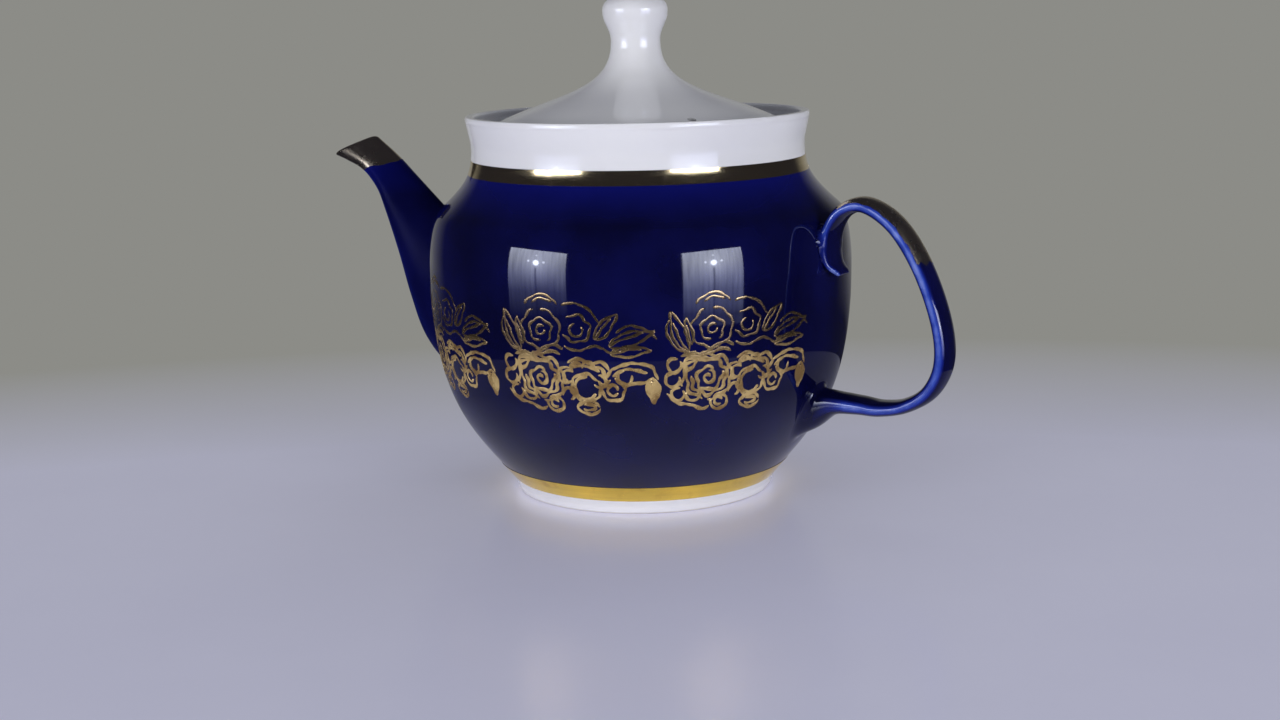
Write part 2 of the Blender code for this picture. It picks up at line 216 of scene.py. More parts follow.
def new_object(name, data):
    """An object in the scene."""
    thing = bpy.data.objects.new(name, data)
    bpy.context.scene.collection.objects.link(thing)
    return thing


def new_mesh(name, points, faces, size=MM):
    """A mesh from points, in millimetres unless another size is given."""
    mesh = bpy.data.meshes.new(name)
    mesh.from_pydata((np.asarray(points) * size).tolist(), [], faces)
    return mesh


def ring_angles(count):
    return 2 * math.pi * np.arange(count) / count


def lathe(outline, segments=LATHE_SEGMENTS, closed=False):
    """Turns an outline of (radius, height) points about Z."""
    turn = ring_angles(segments)
    points, rings = [], []
    for r, z in outline:
        start = len(points)
        if r < 1e-6:
            points.append((0.0, 0.0, z))
            rings.append([start])
        else:
            points += [(r * math.cos(a), r * math.sin(a), z) for a in turn]
            rings.append(list(range(start, start + segments)))
    return np.array(points), skin(rings, closed)


def skin(rings, closed):
    """Faces between rings of vertex numbers. A closed skin joins its last ring to its first."""
    pairs = list(zip(rings, rings[1:]))
    if closed:
        pairs.append((rings[-1], rings[0]))
    return [face for low, high in pairs for face in stitch(low, high)]


def stitch(low, high):
    """Faces between two rings of vertex numbers; either may be a single point."""
    count = max(len(low), len(high))
    if count == 1:
        return []
    faces = []
    for i in range(count):
        j = (i + 1) % count
        if len(low) == 1:
            faces.append((low[0], high[j], high[i]))
        elif len(high) == 1:
            faces.append((low[i], low[j], high[0]))
        else:
            faces.append((low[i], low[j], high[j], high[i]))
    return faces


def tube(rows, closed, flip=False):
    """A skin over rows of rings of points, with capped ends if it isn't closed."""
    count, around = rows.shape[:2]
    rings = [list(range(k * around, (k + 1) * around)) for k in range(count)]
    faces = skin(rings, closed)
    if not closed:
        faces.append(tuple(reversed(rings[0])))
        faces.append(tuple(rings[-1]))
    if flip:
        faces = [tuple(reversed(face)) for face in faces]
    return rows.reshape(-1, 3), faces


def slab(top, bottom):
    """A thin closed sheet between two grids of points, one above the other."""
    count, wide = top.shape[:2]
    numbers = np.arange(count * wide).reshape(count, wide)
    faces = []
    for i in range(count - 1):
        for j in range(wide - 1):
            quad = (numbers[i, j], numbers[i + 1, j], numbers[i + 1, j + 1], numbers[i, j + 1])
            faces.append(quad[::-1])
            faces.append(tuple(n + count * wide for n in quad))
    rim = list(numbers[:, 0]) + list(numbers[-1, 1:]) + list(numbers[-2::-1, -1])
    rim += list(numbers[0, -2:0:-1])
    for a, b in zip(rim, rim[1:] + rim[:1]):
        faces.append((a, a + count * wide, b + count * wide, b)[::-1])
    points = np.concatenate([top.reshape(-1, 3), bottom.reshape(-1, 3)])
    return points, [tuple(int(n) for n in face) for face in faces]


def merged(shapes):
    """One shape from several."""
    points, faces = [], []
    for more_points, more_faces in shapes:
        faces += [tuple(n + len(points) for n in face) for face in more_faces]
        points += more_points.tolist()
    return np.array(points), faces


def make_piece(name, shape, material, body, values=None, sharp=40.0):
    """A named piece that rides on a body. values holds one number per point for the material."""
    mesh = new_mesh(name, *shape)
    mesh.shade_smooth()
    mesh.set_sharp_from_angle(angle=math.radians(sharp))
    mesh.materials.append(material)
    for key, numbers in (values or {}).items():
        attribute = mesh.attributes.new(key, "FLOAT", "POINT")
        attribute.data.foreach_set("value", np.asarray(numbers, np.float32).ravel())
    thing = new_object(name, mesh)
    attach(thing, body)
    return thing


def drill(thing, centres, direction, radius, reach):
    """Cuts round holes through a piece and keeps the cut mesh."""
    turn = Vector((0, 0, 1)).rotation_difference(Vector(direction)).to_matrix()
    rod, rod_faces = lathe([(0.0, -reach), (radius, -reach), (radius, reach), (0.0, reach)], 32)
    rod = rod @ np.array(turn).T
    rods = merged([(rod + np.array(centre), rod_faces) for centre in centres])
    cutter = new_object("drill", new_mesh("drill", *rods))
    cut = thing.modifiers.new("holes", "BOOLEAN")
    cut.operation = "DIFFERENCE"
    cut.solver = "EXACT"
    cut.object = cutter
    graph = bpy.context.evaluated_depsgraph_get()
    whole = bpy.data.meshes.new_from_object(thing.evaluated_get(graph))
    thing.modifiers.clear()
    thing.data = whole
    bpy.data.objects.remove(cutter)


# ---- lofts along the spout and handle

class Loft:
    """Ovals along a line. Place runs from 0 to 1; angle 0 is along each oval's half axis."""

    def __init__(self, centre, half_axis, half_width, fullness=2.0, egg=0.0):
        self.places = shares(len(centre))
        self.columns = np.column_stack([centre, half_axis, half_width])
        self.start_slope = (self.columns[1] - self.columns[0]) / self.places[1]
        self.power = 2.0 / fullness
        self.egg = egg
        turns = np.linspace(0.0, math.pi, 721)
        self.widest = (np.sin(turns) ** self.power * (1.0 - egg * np.cos(turns))).max()

    def shape(self, angle):
        """Shares of the half axis and half width at an angle.

        A fullness over 2 squares the oval off. An egg share moves its widest place away from angle 0.
        """
        across, side = np.cos(angle), np.sin(angle)
        beside = np.sign(side) * np.abs(side) ** self.power * (1.0 - self.egg * across) / self.widest
        return np.sign(across) * np.abs(across) ** self.power, beside

    def at(self, place):
        place = np.asarray(place, float)
        inside = np.clip(place, 0.0, 1.0)
        found = [np.interp(inside, self.places, column) for column in self.columns.T]
        found = np.stack(found, axis=-1)
        return found + np.minimum(place, 0.0)[..., None] * self.start_slope

    def point(self, place, angle):
        row = self.at(place)
        lift = np.zeros(row.shape[:-1] + (3,))
        lift[..., 1] = row[..., 6]
        across, side = self.shape(angle)
        return row[..., :3] + row[..., 3:6] * across[..., None] + lift * side[..., None]

    def normal(self, place, angle):
        small = 1e-3
        along = self.point(place + small, angle) - self.point(place - small, angle)
        around = self.point(place, angle + small) - self.point(place, angle - small)
        found = unit(np.cross(around, along))
        outwards = self.point(place, angle) - self.at(place)[..., :3]
        return found * np.sign((found * outwards).sum(-1))[..., None]


def rooted_rows(loft, angles, size, places, reach=0.35):
    """Rows of a loft that grows out of the wall through a fillet: the fillet, then the rest."""
    tries = np.linspace(-reach, 0.4, 500)
    fillet, starts = [], []
    rise = shares(14)
    for angle in angles:
        turned = np.full_like(tries, angle)
        gap, away = wall_distance(loft.point(tries, turned))
        first = int(np.argmax(gap > 0.0))
        lean = float((loft.normal(tries[first:first + 1], turned[:1]) * away[first]).sum())
        grown = slice(max(first - 160, 0), first + 260)
        rising = np.maximum.accumulate(gap[grown])
        radius = size * (1.0 - 0.8 * max(lean, 0.0))
        want = radius * (rise**2 - lean * (1 - rise) ** 2)
        place = np.interp(want, rising + 1e-9 * np.arange(len(rising)), tries[grown])
        turned = np.full_like(place, angle)
        swell = radius * (1 - rise) ** 2
        fillet.append(loft.point(place, turned) + loft.normal(place, turned) * swell[:, None])
        starts.append(place[-1])
    fillet = np.array(fillet).transpose(1, 0, 2)
    gap, away = wall_distance(fillet[0])
    fillet[0] -= away * (gap[:, None] + 0.02)
    hidden = fillet[0] - away
    grid = np.array(starts)[None, :] + (1.0 - np.array(starts)[None, :]) * places[1:, None]
    return hidden, fillet, grid


def swell_to_wall(points, normals, size):
    """Fills the crease where a surface runs along the wall, so that the two meet in a round valley."""
    gap, away = wall_distance(points)
    lean = (normals * away).sum(-1)
    low = np.zeros_like(gap)
    high = np.zeros_like(gap) + size
    for _ in range(30):
        middle = (low + high) / 2
        past = np.sqrt(middle) + np.sqrt(np.maximum(gap + lean * middle, 0.0)) > np.sqrt(size)
        high = np.where(past, middle, high)
        low = np.where(past, low, middle)
    touch = np.maximum(gap, 0.0) / np.maximum(-lean, 0.05)
    move = np.where(lean < -0.05, np.minimum(low, touch), low)
    return points + normals * move[..., None]


# ---- shader helpers

def add(tree, kind, inputs=None, **settings):
    """A new shader node. Each input is a value or another node's output."""
    made = tree.nodes.new("ShaderNode" + kind)
    for key, value in settings.items():
        setattr(made, key, value)
    for key, value in (inputs or {}).items():
        if isinstance(value, bpy.types.NodeSocket):
            tree.links.new(value, made.inputs[key])
        else:
            made.inputs[key].default_value = value
    return made


def calc(tree, operation, a, b=0.0):
    return add(tree, "Math", {0: a, 1: b}, operation=operation).outputs[0]


def times(tree, a, b):
    return calc(tree, "MULTIPLY", a, b)


def axis(tree, coords, number):
    return add(tree, "SeparateXYZ", {0: coords}).outputs[number]


def spread(tree, value, low, high, to_low=0.0, to_high=1.0):
    """Stretches low..high of a value to another range, held at its ends."""
    inputs = {"Value": value, "From Min": low, "From Max": high, "To Min": to_low, "To Max": to_high}
    return add(tree, "MapRange", inputs).outputs[0]


def blend_colour(tree, share, a, b):
    made = add(tree, "Mix", data_type="RGBA")
    for key, value in ((0, share), (6, a), (7, b)):
        if isinstance(value, bpy.types.NodeSocket):
            tree.links.new(value, made.inputs[key])
        elif key == 0:
            made.inputs[key].default_value = value
        else:
            made.inputs[key].default_value = (*value, 1.0)
    return made.outputs[2]


def vector_length(tree, vector):
    return add(tree, "VectorMath", {0: vector}, operation="LENGTH").outputs["Value"]


def mix(tree, share, a, b):
    """A mix of two shaders, nodes both."""
    return add(tree, "MixShader", {0: share, 1: a.outputs[0], 2: b.outputs[0]})


def noise(tree, coords, scale, detail=3.0, rough=0.5):
    inputs = {"Vector": coords, "Scale": scale, "Detail": detail, "Roughness": rough}
    return add(tree, "TexNoise", inputs).outputs[0]


def stretched(tree, coords, scale):
    return add(tree, "Mapping", {"Vector": coords, "Scale": scale}).outputs[0]


def start_material(name):
    """A new material, its tree, its main shader and the object's own coordinates."""
    material = bpy.data.materials.new(name)
    material.use_nodes = True
    tree = material.node_tree
    shader = tree.nodes["Principled BSDF"]
    coords = add(tree, "TexCoord").outputs["Object"]
    return material, tree, shader, coords


def set_inputs(tree, shader, **values):
    for key, value in values.items():
        socket = shader.inputs[key.replace("_", " ")]
        if isinstance(value, bpy.types.NodeSocket):
            tree.links.new(value, socket)
        else:
            socket.default_value = value


def bumps(tree, *layers):
    """Stacked bumps, each (height socket, depth in millimetres, strength)."""
    normal = None
    for height, depth, strength in layers:
        inputs = {"Height": height, "Distance": depth * MM, "Strength": strength}
        if normal is not None:
            inputs["Normal"] = normal
        normal = add(tree, "Bump", inputs).outputs[0]
    return normal


# ---- materials

# Colours the cobalt takes as it thins and where a highlight is painted on it, the last the palest: from,
# to, colour.
THIN_AND_HIGHLIGHT_BLUES = (
    (0.0, 0.6, (0.010, 0.022, 0.26)),
    (0.55, 0.85, (0.040, 0.085, 0.46)),
    (0.80, 1.0, (0.16, 0.22, 0.62)),
)

# Where a finish changes, in metres: from, to
# The cobalt's neck: painted lighter blue where it faces the light from above, partly thinner glaze there.
COBALT_NECK_LIT = (88 * MM, 99 * MM)
SPOUT_DULL_X = (-64 * MM, -72 * MM)
BARE_FOOT = (0.25 * MM, 0.7 * MM)
LID_SHINE = (112 * MM, 120 * MM)
# The collar band's gold is painted paler above here, standing in for the whiter reflections it shows.
BAND_PALES_FOR_REFLECTION = (40 * MM, 60 * MM)
# Above these heights the spray gold darkens: a painted dark reflection of the dim room above the table.
SPRAY_PAINTED_DARK = (50 * MM, 55 * MM)
# Painted shade darkens the white glaze in hollows above this height, within this reach.
PAINTED_SHADE_ABOVE = 60 * MM
PAINTED_SHADE_REACH = 9 * MM


def cobalt_glaze():
    """Deep blue glaze, lighter where it ran thin, with painted highlights on edges and a painted lighter
    neck, duller on the spout, with a wavy surface.
    """
    material, tree, shader, coords = start_material("cobalt_glaze")
    clouds = noise(tree, coords, 38.0, 4.0, 0.55)
    clouds = spread(tree, clouds, 0.35, 0.7)
    deep = blend_colour(tree, clouds, (0.0020, 0.0022, 0.026), (0.0036, 0.0043, 0.060))
    height = axis(tree, coords, 2)
    # Painted light, partly thinner glaze: the blue lightens up the neck, where the shoulder faces the
    # light from above.
    neck = spread(tree, height, *COBALT_NECK_LIT, 0.0, 0.55)
    blue = blend_colour(tree, neck, deep, (0.005, 0.008, 0.19))
    # The attribute read here holds thinner glaze and painted highlights along the spout's front and the
    # strap's edges.
    thin_and_highlight = add(tree, "Attribute", attribute_name="thin_and_highlight").outputs["Fac"]
    patchy = spread(tree, noise(tree, coords, 130.0), 0.2, 0.75, 0.55, 1.1)
    thin_and_highlight = calc(tree, "MINIMUM", times(tree, thin_and_highlight, patchy), 1.0)
    for low, high, colour in THIN_AND_HIGHLIGHT_BLUES:
        blue = blend_colour(tree, spread(tree, thin_and_highlight, low, high), blue, colour)
    wipe = noise(tree, stretched(tree, coords, (420.0, 420.0, 26.0)), 1.0, 5.0, 0.6)
    smear = noise(tree, coords, 30.0, 3.0, 0.5)
    smear = times(tree, spread(tree, wipe, 0.42, 0.72), spread(tree, smear, 0.35, 0.7))
    roughness = spread(tree, smear, 0.0, 1.0, 0.035, 0.11)
    dull = spread(tree, axis(tree, coords, 0), *SPOUT_DULL_X)
    roughness = calc(tree, "ADD", roughness, times(tree, dull, 0.26))
    specular = spread(tree, dull, 0.0, 1.0, 0.5, 0.02)
    swell = noise(tree, coords, 34.0, 1.0, 0.4)
    peel = noise(tree, coords, 420.0, 2.0, 0.5)
    normal = bumps(tree, (swell, 0.12, 0.45), (peel, 0.003, 0.25))
    set_inputs(tree, shader, Base_Color=blue, Roughness=roughness, IOR=1.52, Normal=normal)
    set_inputs(tree, shader, Specular_IOR_Level=specular)
    return material


def white_glaze():
    """Clear glaze over white porcelain: specks, a matt foot, painted shade in the hollows and a shinier
    lid.
    """
    material, tree, shader, coords = start_material("white_glaze")
    clouds = noise(tree, coords, 26.0, 4.0, 0.5)
    white = blend_colour(tree, spread(tree, clouds, 0.3, 0.7), (0.80, 0.80, 0.835), (0.86, 0.86, 0.875))
    specks = add(tree, "TexVoronoi", {"Vector": coords, "Scale": 210.0}).outputs["Distance"]
    chosen = noise(tree, coords, 60.0, 1.0)
    speck = calc(tree, "LESS_THAN", specks, spread(tree, chosen, 0.60, 0.80, 0.0, 0.06))
    white = blend_colour(tree, times(tree, speck, 0.55), white, (0.30, 0.26, 0.20))
    height = axis(tree, coords, 2)
    bare = spread(tree, height, *BARE_FOOT, 1.0, 0.0)
    white = blend_colour(tree, bare, white, (0.66, 0.62, 0.56))
    # Painted shade: occlusion darkens the white in hollows above a set height, as inside the collar round
    # the lid.
    open_share = add(tree, "AmbientOcclusion", {"Distance": PAINTED_SHADE_REACH}, samples=8).outputs["AO"]
    shade = spread(tree, open_share, 0.35, 0.85, 1.0, 0.0)
    shade = times(tree, shade, calc(tree, "GREATER_THAN", height, PAINTED_SHADE_ABOVE))
    white = blend_colour(tree, shade, white, (0.26, 0.26, 0.28))
    smear = noise(tree, coords, 75.0, 4.0, 0.6)
    glossy = spread(tree, smear, 0.35, 0.75, 0.05, 0.13)
    roughness = calc(tree, "MAXIMUM", glossy, times(tree, bare, 0.75))
    swell = noise(tree, coords, 40.0, 1.0, 0.4)
    peel = noise(tree, coords, 500.0, 2.0, 0.5)
    normal = bumps(tree, (swell, 0.10, 0.5), (peel, 0.006, 0.3))
    set_inputs(tree, shader, Base_Color=white, Roughness=roughness, IOR=1.52, Normal=normal)
    set_inputs(tree, shader, Specular_IOR_Level=spread(tree, height, *LID_SHINE, 0.36, 0.56))
    return material


def gilding(name, bright, worn, roughness, wear, brush, relief=1.0):
    """Gold with brush streaks, rubbed thin in places: its material, tree, shader, colour and height."""
    material, tree, shader, coords = start_material(name)
    streaks = noise(tree, stretched(tree, coords, brush), 1.0, 4.0, 0.6)
    blotches = noise(tree, coords, 190.0, 4.0, 0.6)
    rubbed = spread(tree, blotches, *wear)
    gold = blend_colour(tree, spread(tree, streaks, 0.3, 0.75, 0.0, 0.5), bright, worn)
    gold = blend_colour(tree, rubbed, gold, worn)
    rough = spread(tree, streaks, 0.3, 0.7, *roughness)
    rough = calc(tree, "ADD", rough, times(tree, rubbed, 0.12 * relief))
    peel = noise(tree, coords, 700.0, 3.0, 0.6)
    normal = bumps(tree, (streaks, 0.012, 0.5 * relief), (peel, 0.008, 0.4 * relief))
    set_inputs(tree, shader, Base_Color=gold, Metallic=1.0, Roughness=rough, Normal=normal)
    return material, tree, shader, gold, axis(tree, coords, 2)


def band_gilding():
    """Deep yellow gold at the foot, painted paler at the collar so that its reflections read whiter."""
    bright, worn, pale_for_reflection = (0.95, 0.69, 0.12), (0.74, 0.48, 0.09), (0.95, 0.82, 0.58)
    made = gilding("band_gilding", bright, worn, (0.08, 0.17), (0.55, 0.8), (18.0, 18.0, 900.0))
    tree, shader, gold, height = made[1:]
    # Painted reflection colour: paler gold up the pot, so the collar band's reflections read whiter.
    gold = blend_colour(tree, spread(tree, height, *BAND_PALES_FOR_REFLECTION, 0.0, 0.65), gold, pale_for_reflection)
    set_inputs(tree, shader, Base_Color=gold)
    return made[0]


def tip_gilding():
    """Silvery gold with a smooth polish."""
    bright, worn = (0.80, 0.68, 0.48), (0.50, 0.41, 0.30)
    made = gilding("tip_gilding", bright, worn, (0.22, 0.30), (0.62, 0.90), (60.0, 60.0, 60.0), 0.12)
    return made[0]


def spray_gilding():
    """Painted gold: matt and pale in the row, shinier in the sprigs above, which are darkened with a
    painted dark reflection of the dim room.
    """
    bright, worn, painted_dark = (0.97, 0.70, 0.30), (0.36, 0.22, 0.08), (0.27, 0.18, 0.09)
    made = gilding("spray_gilding", bright, worn, (0.13, 0.24), (0.42, 0.60), (260.0, 260.0, 260.0))
    tree, shader, gold, height = made[1:]
    # Painted dark reflection: the sprigs above the row darken towards a dim brown.
    above = spread(tree, height, *SPRAY_PAINTED_DARK)
    gold = blend_colour(tree, times(tree, above, 0.7), gold, painted_dark)
    metal = spread(tree, above, 0.0, 1.0, 0.50, 0.93)
    set_inputs(tree, shader, Base_Color=gold, Metallic=metal)
    return made[0]


# ---- turned pieces

def body_outline():
    """The porcelain wall: base, foot, outside (sunk under the coat), lip, lid seat, inside and floor."""
    ring_in = FOOT_R - FOOT_RING_WIDTH
    foot = rounded([
        (0.0, BASE_RECESS, 0.0),
        (ring_in - BASE_RECESS, BASE_RECESS, 0.5),
        (ring_in, 0.0, 0.5),
        (FOOT_R - 0.1, 0.0, 0.7),
        (FOOT_R + 0.5, 1.6, 0.0),
    ])
    foot_side = wall_stretch(2.0, FOOT_BAND[1] - COAT_TUCK, COAT_TOP)
    sunk = wall_stretch(FOOT_BAND[1] - COAT_TUCK + 0.1, COLLAR_BAND[0] + COAT_TUCK - 0.1, UNDER_COAT)
    collar = wall_stretch(COLLAR_BAND[0] + COAT_TUCK, RIM_Z - 2.0, COAT_TOP)
    lip_r = RIM_R - COAT_TOP
    under_ledge = inner_wall()
    top = rounded([
        (lip_r - 0.08, RIM_Z - 1.8, 0.0),
        (lip_r + 0.04, RIM_Z - 1.2, 0.6),
        (lip_r - 0.16, RIM_Z, 0.4),
        (RIM_R - RIM_WALL, RIM_Z, 0.9),
        (RIM_R - RIM_WALL, RIM_Z - 2.0, 0.6),
        (SEAT_OUTER_R, RIM_Z - 3.4, 0.6),
        (SEAT_OUTER_R, SEAT_Z, 0.5),
        (SEAT_INNER_R, SEAT_Z, 0.5),
        (SEAT_INNER_R, SEAT_Z - SEAT_THICK, 0.9),
        (*under_ledge[0], 1.5),
        (*under_ledge[1], 0.0),
    ])
    edge = under_ledge[-1]
    floor = bezier(edge, edge - (2.4, 2.2), (edge[0] - 6.0, FLOOR_Z), (edge[0] - 12.0, FLOOR_Z), 10)
    return np.vstack([foot, foot_side, sunk, collar, top, under_ledge[2:], floor[1:], [(0.0, FLOOR_Z)]])


def thin_shell(low, high, top, bottom):
    """A closed outline hugging the wall between two heights and two depths."""
    outside = wall_stretch(low, high, top)
    inside = wall_stretch(low + 0.02, high - 0.02, bottom)
    return np.vstack([outside, inside[::-1]])


# Strainer behind the spout
SIEVE_PITCH = 8.0
SIEVE_Z = 53.0
SIEVE_HOLE_R = 2.1
SIEVE_REACH = 16.0


def sieve_places():
    """Centres of the strainer's holes, in rows of 1, 2, 3, 2 and 1."""
    places = []
    for row, count in enumerate((1, 2, 3, 2, 1)):
        z = SIEVE_Z + (row - 2) * SIEVE_PITCH
        for k in range(count):
            places.append((-BELLY_R, (k - (count - 1) / 2) * SIEVE_PITCH, z))
    return places


def make_vessel(white, blue, gold):
    body = make_piece("porcelain_body", lathe(body_outline()), white, "pot")
    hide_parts("vessel")
    coat_low, coat_high = FOOT_BAND[1] - COAT_TUCK, COLLAR_BAND[0] + COAT_TUCK
    shell = thin_shell(coat_low, coat_high, COAT_TOP, COAT_TOP + COAT_THICK)
    coat = make_piece("cobalt_coat", lathe(shell, closed=True), blue, "pot")
    for thing in (body, coat):
        drill(thing, sieve_places(), (1, 0, 0), SIEVE_HOLE_R, SIEVE_REACH)
    for name, (low, high) in (("gold_band_foot", FOOT_BAND), ("gold_band_collar", COLLAR_BAND)):
        band = lathe(thin_shell(low, high, GILT_TOP, GILT_BOTTOM), closed=True)
        make_piece(name, band, gold, "pot")


# Lid
LID_R = 48.2
LID_EDGE = 2.4
LID_WALL = 3.0
LID_REST = lid_low[2] + 9.8
NECK_R = 7.5
NECK_Z = 137.0
BORE_R = 4.6
FLANGE_R = 44.2
FLANGE_WALL = 2.6
NECK_JOINT_Z = (lid_high[2] + knob_low[2]) / 2
VENT_REACH = 38.3
VENT_TURN = -35.0
VENT_R = 1.3


def lid_cone():
    edge_z = LID_REST + LID_EDGE
    return bezier((LID_R - 0.7, edge_z), (25.2, 122.0), (NECK_R, 121.6), (NECK_R, NECK_Z), 90)


def lid_outline():
    cone = lid_cone()
    top = cone[cone[:, 1] < NECK_JOINT_Z]
    under = offset(cone, -LID_WALL)[::-1]
    under = under[(under[:, 0] > BORE_R + 0.6) & (under[:, 0] < FLANGE_R - FLANGE_WALL - 1.2)]
    neck_r = np.interp(NECK_JOINT_Z, cone[:, 1], cone[:, 0])
    flange_in = FLANGE_R - FLANGE_WALL
    edge = rounded([
        (*under[-1], 0.0),
        (flange_in, LID_REST - 0.6, 1.0),
        (flange_in, lid_low[2], 1.2),
        (FLANGE_R, lid_low[2], 1.2),
        (FLANGE_R, LID_REST, 0.6),
        (LID_R, LID_REST, 0.7),
        (LID_R, LID_REST + LID_EDGE, 1.0),
        (*top[3], 0.0),
    ])
    neck = np.array([(neck_r, NECK_JOINT_Z), (BORE_R, NECK_JOINT_Z), (BORE_R, NECK_JOINT_Z - 3.5)])
    return np.vstack([edge, top[4:], neck, under[:-1]])


def knob_outline():
    cone = lid_cone()
    neck = cone[cone[:, 1] > NECK_JOINT_Z + 0.05]
    neck_r = np.interp(NECK_JOINT_Z, cone[:, 1], cone[:, 0])
    wide_r, wide_z, top_z = 9.9, 146.3, knob_high[2]
    flare = bezier((NECK_R, NECK_Z), (NECK_R, NECK_Z + 4.0), (wide_r, wide_z - 4.5), (wide_r, wide_z), 24)
    dome = bezier((wide_r, wide_z), (wide_r, wide_z + 2.6), (6.5, top_z), (0.0, top_z), 24)
    hollow = spline([
        (0.0, top_z - 2.6), (4.2, top_z - 3.1), (6.2, wide_z), (5.6, wide_z - 3.2),
        (BORE_R, NECK_Z + 2.0), (BORE_R, NECK_Z - 2.0), (BORE_R, NECK_JOINT_Z),
    ], 5)
    return np.vstack([[(neck_r, NECK_JOINT_Z)], neck[:-1], flare, dome[1:], hollow])


def make_lid(white):
    lid = make_piece("porcelain_lid", lathe(lid_outline(), closed=True), white, "lid")
    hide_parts("lid")
    drill(lid, [(*polar(VENT_REACH, VENT_TURN), LID_REST + 6.0)], (0, 0, 1), VENT_R, 12.0)
    points, faces = lathe(knob_outline())
    faces += stitch(list(range(len(points) - LATHE_SEGMENTS, len(points))), list(range(LATHE_SEGMENTS)))
    knob = make_piece("porcelain_knob", (points, faces), white, "lid")
    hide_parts("lid_knob")


# ---- spout

SPOUT_TIP_WIDTH = 12.3
SPOUT_THROAT_WIDTH = 17.5
SPOUT_ROOT_WIDTH = 30.0
SPOUT_WALL = 2.8
LIP_WALL = 2.0
EGG_SHARE = 0.25
SPOUT_AROUND = 72
GOLD_REAR_Z = 98.6
GOLD_FRONT_Z = 95.0
GOLD_OVER, GOLD_UNDER = 0.07, 0.04
LIP_PLACE = 0.993
SPOUT_FILLET = 5.0


def spout_loft(inwards):
    """The spout's outside at 0 and its bore at 1. Each oval spans the rear and front outlines."""
    count = 161
    lip = spout_high[2]
    rear = by_length(bezier((-62.0, 72.4), (-75.2, 84.8), (-91.2, 98.3), (-101.5, lip), 120), count)
    front = by_length(spline([
        (-57.0, 25.0), (-71.5, 30.6), (-80.5, 39.0), (-85.7, 51.2), (-90.0, 66.2),
        (-94.6, 80.2), (-98.0, 88.3), (-104.3, 94.9), (-112.0, 98.2), (spout_low[0], 99.9),
    ], 20), count)
    share = shares(count)
    wall = inwards * (SPOUT_WALL + (LIP_WALL - SPOUT_WALL) * share)
    centre = np.column_stack([(rear + front)[:, 0] / 2, np.zeros(count), (rear + front)[:, 1] / 2])
    half = np.column_stack([(rear - front)[:, 0] / 2, np.zeros(count), (rear - front)[:, 1] / 2])
    length = np.linalg.norm(half, axis=1)
    half *= ((length - wall) / length)[:, None]
    width = SPOUT_THROAT_WIDTH + (SPOUT_ROOT_WIDTH - SPOUT_THROAT_WIDTH) * (1 - share) ** 5
    width += (SPOUT_TIP_WIDTH - SPOUT_THROAT_WIDTH) * share**4
    return Loft(centre, half, width / 2 - wall, egg=EGG_SHARE)


def lip_rows(outside, inside, angles):
    """The rounded lip between the outside and the bore."""
    place = np.full_like(angles, LIP_PLACE)
    out, inner = outside.point(place, angles), inside.point(place, angles)
    ahead = unit(outside.point(place + 0.01, angles) - outside.point(place - 0.01, angles))
    middle, arm = (out + inner) / 2, (out - inner) / 2
    reach = np.linalg.norm(arm, axis=-1)[:, None] * ahead
    turns = np.linspace(0.0, math.pi, 11)
    return [middle + arm * math.cos(t) + reach * math.sin(t) for t in turns]


def make_spout(blue, white, gold):
    outside, inside = spout_loft(0.0), spout_loft(1.0)
    angles = ring_angles(SPOUT_AROUND)
    places = shares(64)
    hidden, fillet, grid = rooted_rows(outside, angles, SPOUT_FILLET, places)
    grid = np.minimum(grid, 1.0)
    grid = grid[0] + (grid - grid[0]) * (LIP_PLACE - grid[0]) / (1.0 - grid[0])
    turned = np.broadcast_to(angles, grid.shape)
    outer_rows = outside.point(grid, turned)
    lip = lip_rows(outside, inside, angles)
    bore_start = bore_root(inside, angles)
    bore = bore_start + (LIP_PLACE - bore_start) * np.linspace(1.0, 0.0, 40)[:, None]
    bore_rows = inside.point(bore, np.broadcast_to(angles, bore.shape))
    rows = np.concatenate([[hidden], fillet, outer_rows, lip[1:-1], bore_rows])
    points, faces = tube(rows, True)
    # Thinner glaze and a painted highlight along the spout's front.
    thin_and_highlight = thin_and_highlight_on_spout(rows, len(fillet) + 1 + len(outer_rows))
    spout = make_piece("spout_shell", (points, faces), blue, "pot", {"thin_and_highlight": thin_and_highlight})
    spout.data.materials.append(white)
    first_white = (len(fillet) + len(outer_rows) + len(lip)) * SPOUT_AROUND
    for number, polygon in enumerate(spout.data.polygons):
        polygon.material_index = int(number >= first_white)
    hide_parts("spout")
    make_spout_gold(outside, inside, angles, gold)


def bore_root(inside, angles):
    """The place on each line of the bore that lies one millimetre under the coat."""
    tries = np.linspace(-0.3, 0.5, 400)
    found = []
    for angle in angles:
        gap, _ = wall_distance(inside.point(tries, np.full_like(tries, angle)))
        found.append(tries[int(np.argmax(gap > -1.0))])
    return np.array(found)


def thin_and_highlight_on_spout(rows, outer_count):
    """The glaze ran thin in a wide band along the spout's front, more so towards the lip, and a highlight
    is painted along it as well.
    """
    thin_and_highlight = np.zeros(rows.shape[:2])
    angles = ring_angles(SPOUT_AROUND)
    front = np.clip((-np.cos(angles) - 0.40) / 0.45, 0.0, 1.0)
    share = shares(outer_count)
    along = np.clip(share * 1.5 - 0.30, 0.0, 1.0)
    thin_and_highlight[:outer_count] = 0.62 * front[None, :] * along[:, None]
    return thin_and_highlight


